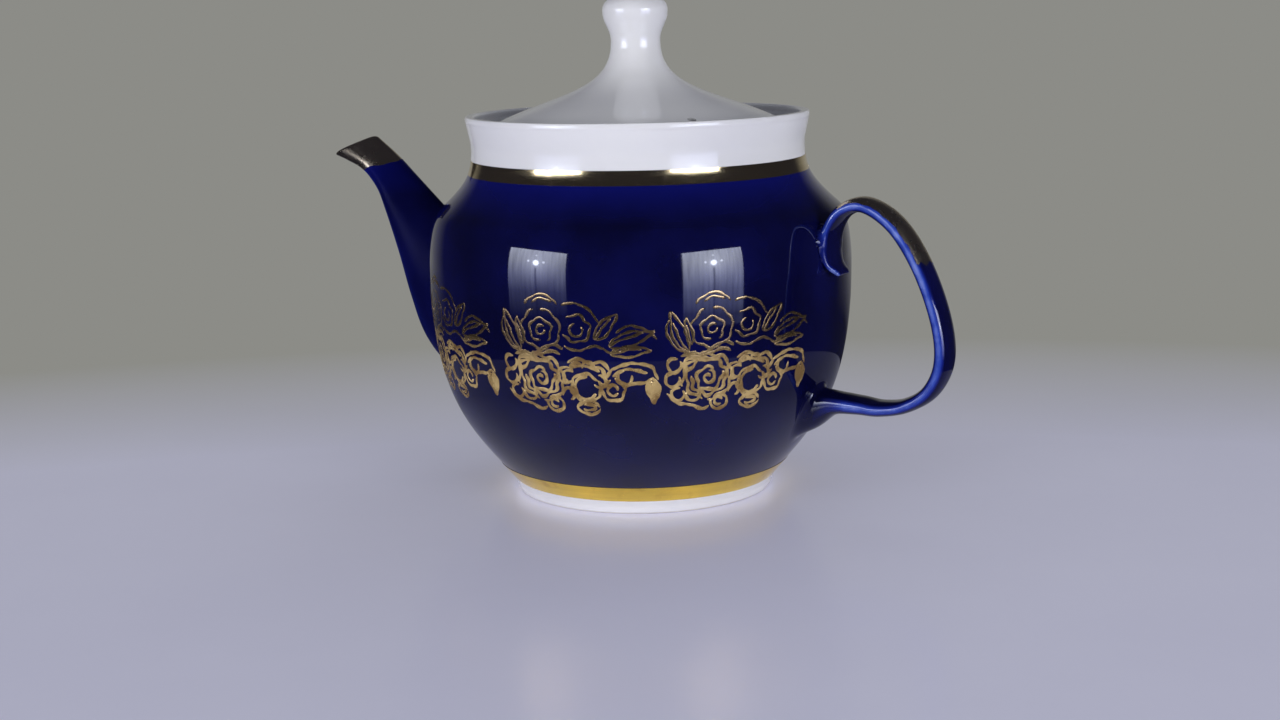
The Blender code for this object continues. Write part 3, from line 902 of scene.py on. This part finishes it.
def make_spout_gold(outside, inside, angles, gold):
    """A gilded sleeve over the tip, turned over the lip and a little way down the bore."""
    height = (GOLD_REAR_Z + GOLD_FRONT_Z) / 2 + (GOLD_REAR_Z - GOLD_FRONT_Z) / 2 * np.cos(angles)
    height += 0.25 * np.sin(3 * angles + 0.6) + 0.12 * np.sin(7 * angles)
    tries = np.linspace(0.5, LIP_PLACE, 300)
    start = []
    for angle, want in zip(angles, height):
        line = outside.point(tries, np.full_like(tries, angle))
        start.append(np.interp(want, line[:, 2], tries))
    start = np.array(start)
    grid = start + (LIP_PLACE - start) * shares(22)[:, None]
    turned = np.broadcast_to(angles, grid.shape)
    outer = outside.point(grid, turned)
    lip = np.array(lip_rows(outside, inside, angles))[1:-1]
    down = np.linspace(LIP_PLACE, LIP_PLACE - 0.05, 6)[:, None] + 0 * angles
    inner = inside.point(down, np.broadcast_to(angles, down.shape))
    base = np.concatenate([outer, lip, inner])
    normals = row_normals(base)
    rows = np.concatenate([base + normals * GOLD_OVER, (base - normals * GOLD_UNDER)[::-1]])
    points, faces = tube(rows, True, flip=True)
    make_piece("spout_gilding", (points, faces), gold, "pot", sharp=60.0)


def row_normals(rows):
    """Outward directions of a skin of rings, from the slopes along and round it."""
    along = np.gradient(rows, axis=0)
    around = np.roll(rows, -1, axis=1) - np.roll(rows, 1, axis=1)
    return unit(np.cross(along, around))


# ---- handle

STRAP_WIDTH = 10.1
SCROLL_WIDTH = 12.7
LOWER_THICK = 4.3
UPPER_THICK = 4.85
STRAP_FULLNESS = 2.4
SCROLL_THICK = 3.8
TIP_THICK = 2.6
TIP_NARROWING = 0.36
BURIED_THICK = 28.0
BURIED_WIDTH = 14.0
FLARE_SHARE = 0.13
TAIL_THICK = 5.2
TAIL_SHARE = 0.26
STRAP_AROUND = 72
PATCH_START, PATCH_END = 0.618, 0.856
PATCH_HALF_ANGLE = 1.20
PATCH_OVER, PATCH_UNDER = 0.06, 0.05
STRAP_FILLET = 2.6


def ramp(value, start, end):
    return np.clip((value - start) / (end - start), 0.0, 1.0)


def handle_loft():
    count = 801
    line = by_length(spline([
        (51.5, 30.4), (58.5, 29.8), (66.0, 31.3), (74.0, 31.3), (81.0, 31.0), (89.0, 32.7),
        (96.2, 37.6), (100.0, 46.3), (98.9, 58.0), (93.3, 72.8), (85.4, 84.4), (76.2, 90.0),
        (69.4, 88.4), (65.6, 83.2), (64.7, 77.2), (65.5, 72.9), (67.9, 70.5),
    ], 60), count)
    place = shares(count)
    along = unit(np.gradient(line, axis=0))
    flare = np.maximum(0.0, 1 - place / FLARE_SHARE) ** 2
    tail = np.maximum(0.0, 1 - place / TAIL_SHARE) ** 1.5
    thick = LOWER_THICK + (BURIED_THICK - LOWER_THICK - TAIL_THICK) * flare + TAIL_THICK * tail
    thick += (UPPER_THICK - LOWER_THICK) * ramp(place, 0.30, 0.42)
    thick += (SCROLL_THICK - UPPER_THICK) * ramp(place, 0.75, 0.90)
    thick += (TIP_THICK - SCROLL_THICK) * ramp(place, 0.93, 1.0)
    width = STRAP_WIDTH + (BURIED_WIDTH - STRAP_WIDTH) * flare
    width += (SCROLL_WIDTH - STRAP_WIDTH) * ramp(place, 0.78, 0.92)
    width *= 1.0 - TIP_NARROWING * ramp(place, 0.95, 1.0) ** 2
    centre = np.column_stack([line[:, 0], np.zeros(count), line[:, 1]])
    across = np.column_stack([along[:, 1], np.zeros(count), -along[:, 0]])
    loft = Loft(centre, across * (thick / 2 - STRAP_SINK)[:, None], width / 2, STRAP_FULLNESS)
    loft.start_slope[1:] = 0.0
    return loft


def make_handle(blue, gold):
    loft = handle_loft()
    angles = ring_angles(STRAP_AROUND)
    places = shares(300)
    hidden, fillet, grid = rooted_rows(loft, angles, STRAP_FILLET, places, reach=0.12)
    turned = np.broadcast_to(angles, grid.shape)
    rest = loft.point(grid, turned)
    size = STRAP_FILLET * ramp(grid, 0.70, 0.80) * ramp(grid, 0.975, 0.935) + 0.01
    filled = swell_to_wall(rest, loft.normal(grid, turned), size)
    rest = np.where((grid > 0.7)[..., None], filled, rest)
    tip = handle_tip(loft, angles)
    rows = np.concatenate([[hidden], fillet, rest, tip])
    points, faces = tube(rows, False)
    # Thinner glaze and a painted highlight along the strap's edges.
    thin_and_highlight = thin_and_highlight_on_handle(rows, angles)
    handle = make_piece("handle_strap", (points, faces), blue, "pot", {"thin_and_highlight": thin_and_highlight})
    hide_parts("handle")
    make_handle_gold(loft, gold)


def handle_tip(loft, angles):
    """The scroll's rounded end."""
    end = loft.at(np.array(1.0))
    before = loft.at(np.array(0.995))
    along = end[:3] - before[:3]
    along /= np.linalg.norm(along)
    half = np.linalg.norm(end[3:6])
    rows = []
    for turn in np.linspace(0.0, math.pi / 2, 9)[1:]:
        shrink = max(math.cos(turn), 0.02)
        across = end[3:6] * shrink
        wide = end[6] - half * (1 - shrink)
        centre = end[:3] + along * half * math.sin(turn)
        side = np.array([0.0, wide, 0.0])
        share_across, share_side = loft.shape(angles)
        rows.append(centre + across * share_across[:, None] + side * share_side[:, None])
    return rows


def thin_and_highlight_on_handle(rows, angles):
    """The glaze ran thin along both edges of the strap, and a highlight is painted there as well, fading
    where the strap nears the wall.
    """
    edge = np.clip((np.abs(np.sin(angles)) - 0.80) / 0.20, 0.0, 1.0)
    thin_and_highlight = np.zeros(rows.shape[:2]) + edge[None, :]
    gap, _ = wall_distance(rows)
    lower = rows[..., 2] < 50.0
    return thin_and_highlight * np.clip(np.where(lower, (gap - 3.0) / 8.0, gap / 2.0), 0.0, 1.0)


def make_handle_gold(loft, gold):
    """A gilded patch over the top of the strap, where the thumb rests."""
    u = shares(90)[:, None]
    v = np.linspace(-1.0, 1.0, 40)[None, :]
    start = PATCH_START + 0.004 * np.sin(9 * v + 1.0) + 0.010 * v**2
    end = PATCH_END - 0.003 * np.sin(7 * v) - 0.008 * v**2
    place = start + (end - start) * u
    angle = (PATCH_HALF_ANGLE + 0.05 * np.sin(26 * u + 0.5) + 0.03 * np.sin(61 * u)) * v
    base = loft.point(place, angle)
    normals = loft.normal(place, angle)
    shape = slab(base + normals * PATCH_OVER, base - normals * PATCH_UNDER)
    make_piece("handle_gilding", shape, gold, "pot", sharp=60.0)


# ---- flower sprays

SPRAY_Z = 54.5
SPRAY_ANGLES = (-31.2, -75.0, -121.0, 47.0, 91.0, 135.0)
ROW_STROKE = 0.98
SPRIG_STROKE = 0.74
STROKE_LIFT = 0.030
LIFT_STEP = 0.0006


def arc(cx, cy, r, start, turn, squash=1.0, end_r=None):
    """Points along a circle or spiral, in degrees from start through turn."""
    end_r = r if end_r is None else end_r
    t = shares(max(10, int(abs(turn) / 9)))
    a = np.radians(start + turn * t)
    reach = r + (end_r - r) * t
    return np.column_stack([cx + reach * np.cos(a), cy + reach * squash * np.sin(a)])


def leaf(base, tip, bulge):
    """A pointed leaf outline and its midrib."""
    base, tip = np.array(base, float), np.array(tip, float)
    along = tip - base
    side = np.array([-along[1], along[0]])
    t = shares(16)[:, None]
    swell = np.sin(math.pi * t**0.8) * bulge
    up = base + along * t + side * swell
    down = base + along * t - side * swell * 0.8
    rib = base + along * t[:12] * 1.05 + side * np.sin(math.pi * t[:12]) * 0.06
    return [up, down, rib]


def ruffle(cx, cy, r, end_r, turns, waves, depth, start):
    """A ruffled petal edge: a wavy spiral from one radius to another."""
    t = shares(int(40 * turns) + 12)
    a = math.radians(start) + 2 * math.pi * turns * t
    reach = (r + (end_r - r) * t) * (1 + depth * np.sin(waves * a))
    return np.column_stack([cx + reach * np.cos(a), cy + reach * 0.92 * np.sin(a)])


def ruffled_rose(cx, cy, r, waves, start):
    """A full bloom: a curled heart, two ruffled rings and an open outer frill."""
    return [
        arc(cx, cy, r * 0.10, start, 430, 0.9, r * 0.30),
        ruffle(cx, cy, r * 0.42, r * 0.56, 0.9, waves, 0.10, start + 40),
        ruffle(cx, cy, r * 0.66, r * 0.78, 0.86, waves + 2, 0.09, start + 150),
        ruffle(cx, cy, r * 0.92, r * 1.02, 0.80, waves + 3, 0.07, start + 250),
    ]


def feather(base, tip, bulge):
    """A leaf of three nested outlines, which read as a filled brush stroke."""
    strokes = []
    base, tip = np.array(base, float), np.array(tip, float)
    along = tip - base
    for k in range(3):
        share = k / 3
        strokes += leaf(base + along * share * 0.3, tip - along * share * 0.2, bulge * (1 - share))[:2]
    return strokes


def curve(*knots):
    """A smooth stroke through its knots."""
    return spline(knots, 8)


def lower_row():
    """The dense row of blossoms along the spray's lower edge."""
    strokes = ruffled_rose(-12.4, -9.4, 7.6, 5, 20)
    strokes += [
        ruffle(-12.4, -9.4, 6.4, 6.8, 0.55, 7, 0.08, 60),
        arc(-4.6, -8.2, 2.6, 60, 260, 0.95, 2.2),
        arc(-17.6, -5.0, 2.4, 30, 240, 0.9, 2.0),
        arc(-16.8, -14.2, 2.2, 150, 260, 0.9, 1.9),
    ]
    for cx, cy, r in ((-22.4, -5.4, 2.3), (-22.8, -9.7, 2.4), (-21.4, -13.9, 2.2)):
        strokes.append(arc(cx, cy, r, 70, 330, 0.95, r * 0.8))
    strokes += [
        curve((-24.6, -13.6), (-21.5, -16.2), (-17.4, -17.3), (-13.6, -18.6), (-11.6, -17.8)),
        curve((-20.6, -2.6), (-17.8, -1.9), (-14.6, -2.4), (-11.2, -0.6), (-7.0, 0.7), (-4.9, -0.6)),
        curve((-19.8, -4.4), (-16.4, -3.2), (-12.0, -2.4), (-8.4, -1.0), (-5.6, -2.2)),
        arc(-8.6, -16.8, 2.7, 160, 350, 0.92, 2.3),
        arc(-8.8, -16.6, 1.2, 20, 300),
        arc(-4.0, -13.6, 2.1, 200, -280, 1.0, 1.6),
        ruffle(1.4, -11.6, 4.4, 4.5, 1.0, 6, 0.06, 30),
        arc(1.4, -11.6, 3.3, 80, 250, 1.0, 3.4),
    ]
    for tilt in (150, 115, 80, 45):
        x, y = polar(5.6, tilt)
        strokes.append(arc(1.4 + x, -11.0 + y, 1.8, tilt - 110, 215, 1.0, 1.6))
    strokes += [
        arc(1.8, -17.6, 3.4, 10, 345, 0.58),
        arc(1.8, -17.5, 2.0, 200, 300, 0.5),
        curve((-3.8, -4.2), (-0.6, -3.2), (3.4, -4.4), (6.4, -4.0), (8.6, -6.4)),
        curve((-3.0, -5.6), (0.4, -5.0), (3.6, -5.8), (6.0, -6.6)),
        arc(5.8, -9.6, 2.0, 210, 260, 1.0, 1.7),
        arc(13.2, -8.4, 2.3, 100, 280, 0.9, 2.0),
        ruffle(9.4, -12.2, 3.2, 3.6, 0.95, 5, 0.09, 100),
        arc(9.4, -12.2, 1.5, 0, 330),
        curve((7.2, -9.0), (9.6, -6.0), (13.4, -4.6), (17.6, -4.4), (21.0, -5.8), (22.4, -9.2)),
        curve((9.4, -8.0), (12.2, -6.4), (15.8, -6.2), (19.6, -7.2)),
        curve((12.4, -11.4), (15.2, -10.2), (18.2, -10.2), (21.2, -8.4)),
    ]
    return strokes + feather((20.6, -8.8), (21.4, -16.6), 0.24)


def upper_sprigs():
    """The lighter flowers and leaves above the row."""
    return [
        ruffle(-11.6, 5.0, 6.0, 6.3, 0.94, 7, 0.06, 110),
        ruffle(-11.4, 4.8, 3.4, 3.6, 0.9, 5, 0.10, 300),
        arc(-11.4, 4.8, 1.3, 40, 330),
        arc(-11.0, 8.4, 6.2, 148, -112, 1.05),
        arc(-10.6, 8.8, 4.6, 136, -84, 1.1),
        *leaf((-18.6, -1.6), (-23.6, 10.2), 0.17),
        *leaf((-17.4, 0.4), (-19.2, 8.4), 0.15),
        curve((-24.0, 8.0), (-24.6, 3.6), (-21.6, -0.4), (-17.6, -2.0)),
        ruffle(-0.6, 5.4, 4.0, 4.3, 0.8, 6, 0.09, 200),
        arc(-0.6, 5.2, 1.9, 100, 290),
        curve((-4.6, 12.0), (-0.4, 12.8), (3.6, 10.6), (6.4, 7.2)),
        curve((-4.4, 0.4), (0.4, -0.8), (4.8, 0.8), (9.0, -1.2), (12.0, -0.6)),
        *leaf((4.8, 2.4), (11.4, 9.8), 0.20),
        *leaf((8.6, 0.6), (21.8, 4.6), 0.16),
        *leaf((9.0, -1.6), (20.8, -0.6), 0.14),
        curve((11.0, 4.6), (14.4, 6.4), (18.2, 5.8), (22.4, 2.6)),
    ]


def spray_strokes():
    """One spray in (along, up) millimetres: each stroke's line and width."""
    strokes = [(line, ROW_STROKE) for line in lower_row()]
    return strokes + [(line, SPRIG_STROKE) for line in upper_sprigs()]


def stroke_ribbon(line, width, lift, rng):
    """A brush stroke laid on the wall: a flat-topped ridge with a wavering width and thin ends."""
    length = np.linalg.norm(np.diff(line, axis=0), axis=1).sum()
    count = max(6, int(length / 0.55))
    line = by_length(line, count)
    shut = np.linalg.norm(line[0] - line[-1]) < 0.05
    t = shares(count)
    shake = [np.sin(rate * t * length + rng.uniform(0, 6)) for rate in (1.0, 0.86, 2.3, 2.0)]
    line = line + 0.13 * np.column_stack(shake[:2]) + 0.06 * np.column_stack(shake[2:])
    if shut:
        line[-1] = line[0]
    along = np.gradient(line, axis=0)
    along /= np.maximum(np.linalg.norm(along, axis=1), 1e-9)[:, None]
    side = np.column_stack([-along[:, 1], along[:, 0]])
    waver = 1.0 + 0.22 * np.sin(t * length * 0.9 + rng.uniform(0, 6))
    waver += 0.15 * np.sin(t * length * 2.3 + rng.uniform(0, 6))
    ends = np.ones(count) if shut else np.clip(np.minimum(t, 1 - t) * length / 1.1 + 0.32, 0.0, 1.0)
    half = width / 2 * waver * ends
    across = side * half[:, None]
    flat = np.stack([line + across * share for share in (1.0, 0.72, 0.0, -0.72, -1.0, 0.0)], axis=1)
    depth = COAT_TOP - np.array([0.008, lift * 0.85, lift, lift * 0.85, 0.008, -0.05])
    z = SPRAY_Z + flat[..., 1]
    r = wall_radius(z) - depth[None, :]
    angle = flat[..., 0] / BELLY_R
    return np.stack([r * np.cos(angle), r * np.sin(angle), z], axis=-1)


def make_sprays(gold):
    """The same strokes six times. Crossing strokes stand at different heights."""
    rng = np.random.default_rng(7)
    ribbons = []
    for number, (line, width) in enumerate(spray_strokes()):
        lift = STROKE_LIFT + LIFT_STEP * (number % 30)
        ribbons.append(tube(stroke_ribbon(line, width, lift, rng), False))
    points, faces = merged(ribbons)
    for number, degrees in enumerate(SPRAY_ANGLES):
        cos, sin = polar(1.0, degrees)
        turned = points @ np.array([[cos, -sin, 0], [sin, cos, 0], [0, 0, 1]]).T
        name = f"floral_spray_{number + 1}"
        make_piece(name, (turned, faces), gold, "pot", sharp=180.0)


# ---- stage

CAMERA_TURN = math.radians(31.0)
CAMERA_DISTANCE = 0.5665
CAMERA_HEIGHT = 0.1494
CAMERA_PITCH = math.radians(11.06)
CAMERA_ROLL = math.radians(-1.27)
CAMERA_YAW = math.radians(-0.08)
CAMERA_LENS = 51.98

# Floor, backdrop and lights, in metres
TABLE_R = 0.175
FLOOR_GLOW = 0.175
KEY_POWER = 7.5
FILL = 0.215
BACKDROP = (0.262, 0.262, 0.243)
FLOOR_BLEND = (0.06, 0.24)
# Reach over which the mirrored floor takes painted shade, a falloff of light away from the pot: from, to.
MIRRORED_FLOOR_FALLOFF = (0.048, 0.11)
WALL_AHEAD = (0.66, 0.90)
WALL_FOOT = (-0.21, -0.12)
WALL_TOP = (0.24, 0.42)
CARD_REACH = 1.0
CARD_LOW, CARD_HIGH = -0.20, 0.31
LEFT_TURN, RIGHT_TURN = -114.0, -21.5


def make_camera():
    lens = bpy.data.cameras.new("camera")
    lens.sensor_width = 36.0
    lens.lens = CAMERA_LENS
    lens.clip_start = 0.01
    camera = new_object("camera", lens)
    camera.location = (
        CAMERA_DISTANCE * math.sin(CAMERA_TURN),
        -CAMERA_DISTANCE * math.cos(CAMERA_TURN),
        CAMERA_HEIGHT,
    )
    turn = Matrix.Rotation(CAMERA_TURN - CAMERA_YAW, 3, "Z")
    tilt = Matrix.Rotation(math.pi / 2 - CAMERA_PITCH, 3, "X")
    roll = Matrix.Rotation(CAMERA_ROLL, 3, "Z")
    camera.rotation_euler = (turn @ tilt @ roll).to_euler()
    bpy.context.scene.camera = camera


def make_floor():
    """A pale floor that blends into the backdrop. Mirrored, it takes painted shade away from the pot and
    ends at a table's edge in a dark room.
    """
    points, faces = lathe([(0.0, 0.0), (40.0, 0.0), (200.0, 0.0), (12000.0, 0.0)], 96)
    mesh = new_mesh("floor", points, [face[::-1] for face in faces])
    new_object("floor", mesh)
    material, tree, shader, coords = start_material("pale_floor")
    flat = add(tree, "VectorMath", {0: coords, 1: (1.0, 1.0, 0.0)}, operation="MULTIPLY").outputs[0]
    reach = vector_length(tree, flat)
    cloth = noise(tree, coords, 9.0, 5.0, 0.6)
    near = blend_colour(tree, cloth, (0.72, 0.72, 0.905), (0.79, 0.79, 0.97))
    normal = bumps(tree, (noise(tree, coords, 900.0, 2.0), 0.02, 0.4))
    path = add(tree, "LightPath")
    # Painted shade, in reflections only: the floor darkens away from the pot as if the light fell off.
    painted_falloff = spread(tree, reach, *MIRRORED_FLOOR_FALLOFF, 0.0, 0.74)
    painted_falloff = times(tree, painted_falloff, path.outputs["Is Glossy Ray"])
    near = blend_colour(tree, painted_falloff, near, (0.12, 0.12, 0.16))
    set_inputs(tree, shader, Base_Color=near, Roughness=0.22, Normal=normal)
    set_inputs(tree, shader, Emission_Color=near, Emission_Strength=FLOOR_GLOW)
    beyond = calc(tree, "GREATER_THAN", reach, TABLE_R)
    gone = times(tree, beyond, path.outputs["Is Glossy Ray"])
    below = add(tree, "NewGeometry").outputs["Backfacing"]
    gone = calc(tree, "MAXIMUM", gone, below)
    backdrop = add(tree, "Emission", {"Color": (*BACKDROP, 1.0)})
    spaces = {"vector_type": "POINT", "convert_from": "WORLD", "convert_to": "CAMERA"}
    pot = add(tree, "VectorTransform", {0: (0.0, 0.0, 0.0)}, **spaces)
    distance = add(tree, "CameraData").outputs["View Distance"]
    beyond_pot = calc(tree, "SUBTRACT", distance, vector_length(tree, pot.outputs[0]))
    far = times(tree, spread(tree, beyond_pot, *FLOOR_BLEND), path.outputs["Is Camera Ray"])
    both = mix(tree, gone, mix(tree, far, shader, backdrop), add(tree, "BsdfTransparent"))
    out = next(n for n in tree.nodes if n.type == "OUTPUT_MATERIAL")
    tree.links.new(both.outputs[0], out.inputs["Surface"])
    mesh.materials.append(material)


def hold_with_camera(thing):
    """Keeps a lamp or soft box where it stands to the camera, so every side is lit alike."""
    camera = bpy.context.scene.camera
    thing.parent = camera
    held = Matrix.Translation(camera.location) @ camera.rotation_euler.to_matrix().to_4x4()
    thing.matrix_parent_inverse = held.inverted()


def spot(tree, coords, x, y, full, gone):
    """1 within one distance of a point, falling to 0 at another."""
    centred = add(tree, "VectorMath", {0: coords, 1: (-x, -y, 0.0)}, operation="ADD").outputs[0]
    return spread(tree, vector_length(tree, centred), full, gone, 1.0, 0.0)


# A soft box's bulbs, on a face one unit across: x, y, radius, strength.
BULBS = (
    (0.0, 0.22, 0.060, 24.0),
    (-0.13, 0.24, 0.024, 12.0),
    (0.13, 0.24, 0.024, 12.0),
    (0.0, 0.37, 0.020, 8.0),
)


def card_material(name, droop):
    """A soft box's face: brightest round its lamp near the top, fading to a bluer foot."""
    material = bpy.data.materials.new(name)
    material.use_nodes = True
    tree = material.node_tree
    tree.nodes.clear()
    face = add(tree, "TexCoord").outputs["Object"]
    up = axis(tree, face, 1)
    fade = calc(tree, "POWER", spread(tree, up, -0.42, 0.5, 0.02, 1.0), droop)
    streaks = noise(tree, stretched(tree, face, (26.0, 1.4, 1.0)), 1.0, 3.0, 0.6)
    fade = times(tree, fade, spread(tree, streaks, 0.3, 0.7, 6.0, 10.5))
    glow = calc(tree, "POWER", spot(tree, face, 0.0, 0.20, 0.0, 0.45), 2.0)
    power = calc(tree, "ADD", fade, times(tree, glow, 5.0))
    pole = spread(tree, calc(tree, "ABSOLUTE", axis(tree, face, 0)), 0.010, 0.022, 0.45, 1.0)
    pole = calc(tree, "MAXIMUM", pole, spread(tree, up, 0.10, 0.14))
    power = times(tree, power, pole)
    for x, y, radius, strength in BULBS:
        bulb = spot(tree, face, x, y, radius * 0.6, radius)
        power = calc(tree, "ADD", power, times(tree, bulb, strength))
    tint = blend_colour(tree, spread(tree, up, -0.25, 0.25), (0.52, 0.58, 1.0), (0.78, 0.83, 1.0))
    emit = add(tree, "Emission", {"Color": tint, "Strength": power})
    out = add(tree, "OutputMaterial")
    tree.links.new(emit.outputs[0], out.inputs[0])
    return material


def make_card(name, degrees, width, droop):
    """A soft box's face, seen only in reflections."""
    corners = [(-0.5, -0.5, 0), (0.5, -0.5, 0), (0.5, 0.5, 0), (-0.5, 0.5, 0)]
    mesh = new_mesh(name, corners, [(0, 1, 2, 3)], 1.0)
    material = card_material(name, droop)
    mesh.materials.append(material)
    card = new_object(name, mesh)
    x, y = polar(CARD_REACH, degrees)
    card.location = (x, y, (CARD_LOW + CARD_HIGH) / 2)
    card.rotation_euler = Vector((x, y, 0.0)).to_track_quat("-Z", "Y").to_euler()
    card.scale = (width, CARD_HIGH - CARD_LOW, 1.0)
    hold_with_camera(card)
    card.visible_camera = False
    card.visible_diffuse = False
    card.visible_shadow = False
    material.cycles.emission_sampling = "NONE"


def make_lamp(name, degrees, height, distance, size, power):
    """A soft lamp aimed at the pot, seen neither directly nor in reflections."""
    light = bpy.data.lights.new(name, "AREA")
    light.shape = "SQUARE"
    light.size = size
    light.energy = power
    lamp = new_object(name, light)
    lamp.location = (*polar(distance, degrees), height)
    aim = Vector((0.0, 0.0, 0.06)) - lamp.location
    lamp.rotation_euler = aim.to_track_quat("-Z", "Y").to_euler()
    lamp.visible_glossy = False
    lamp.visible_camera = False
    hold_with_camera(lamp)


def make_world():
    """Plain pale backdrop to the eye, soft fill to matt surfaces, a dim room to reflections."""
    world = bpy.data.worlds.new("studio")
    bpy.context.scene.world = world
    world.use_nodes = True
    tree = world.node_tree
    tree.nodes.clear()
    path = add(tree, "LightPath")
    seen = add(tree, "Background", {"Color": (*BACKDROP, 1.0), "Strength": 1.0})
    fill = add(tree, "Background", {"Color": (0.86, 0.89, 1.0, 1.0), "Strength": FILL})
    coords = add(tree, "TexCoord").outputs
    ahead = axis(tree, coords["Camera"], 2)
    height = axis(tree, coords["Generated"], 2)
    wall = spread(tree, ahead, *WALL_AHEAD)
    wall = times(tree, wall, spread(tree, height, *WALL_FOOT))
    wall = times(tree, wall, spread(tree, height, *WALL_TOP, 1.0, 0.0))
    room = blend_colour(tree, wall, (0.018, 0.018, 0.028), (0.26, 0.26, 0.25))
    mirror = add(tree, "Background", {"Color": room, "Strength": 1.0})
    matt = mix(tree, path.outputs["Is Glossy Ray"], fill, mirror)
    both = mix(tree, path.outputs["Is Camera Ray"], matt, seen)
    out = add(tree, "OutputWorld")
    tree.links.new(both.outputs[0], out.inputs[0])


def make_stage():
    make_camera()
    make_floor()
    make_world()
    make_card("soft_box_left", LEFT_TURN, 0.60, 1.2)
    make_card("soft_box_right", RIGHT_TURN, 0.58, 0.62)
    make_lamp("key_left", LEFT_TURN, 0.10, 1.1, 0.5, KEY_POWER)
    make_lamp("key_right", RIGHT_TURN, 0.10, 1.1, 0.5, KEY_POWER)
    make_lamp("back_fill", 100.0, 0.8, 0.9, 0.9, 1.5)
    bpy.context.scene.view_settings.view_transform = "Standard"


def build():
    white = white_glaze()
    blue = cobalt_glaze()
    gold = band_gilding()
    make_vessel(white, blue, gold)
    tip_gold = tip_gilding()
    make_spout(blue, white, tip_gold)
    make_handle(blue, tip_gold)
    make_lid(white)
    make_sprays(spray_gilding())
    make_stage()


build()
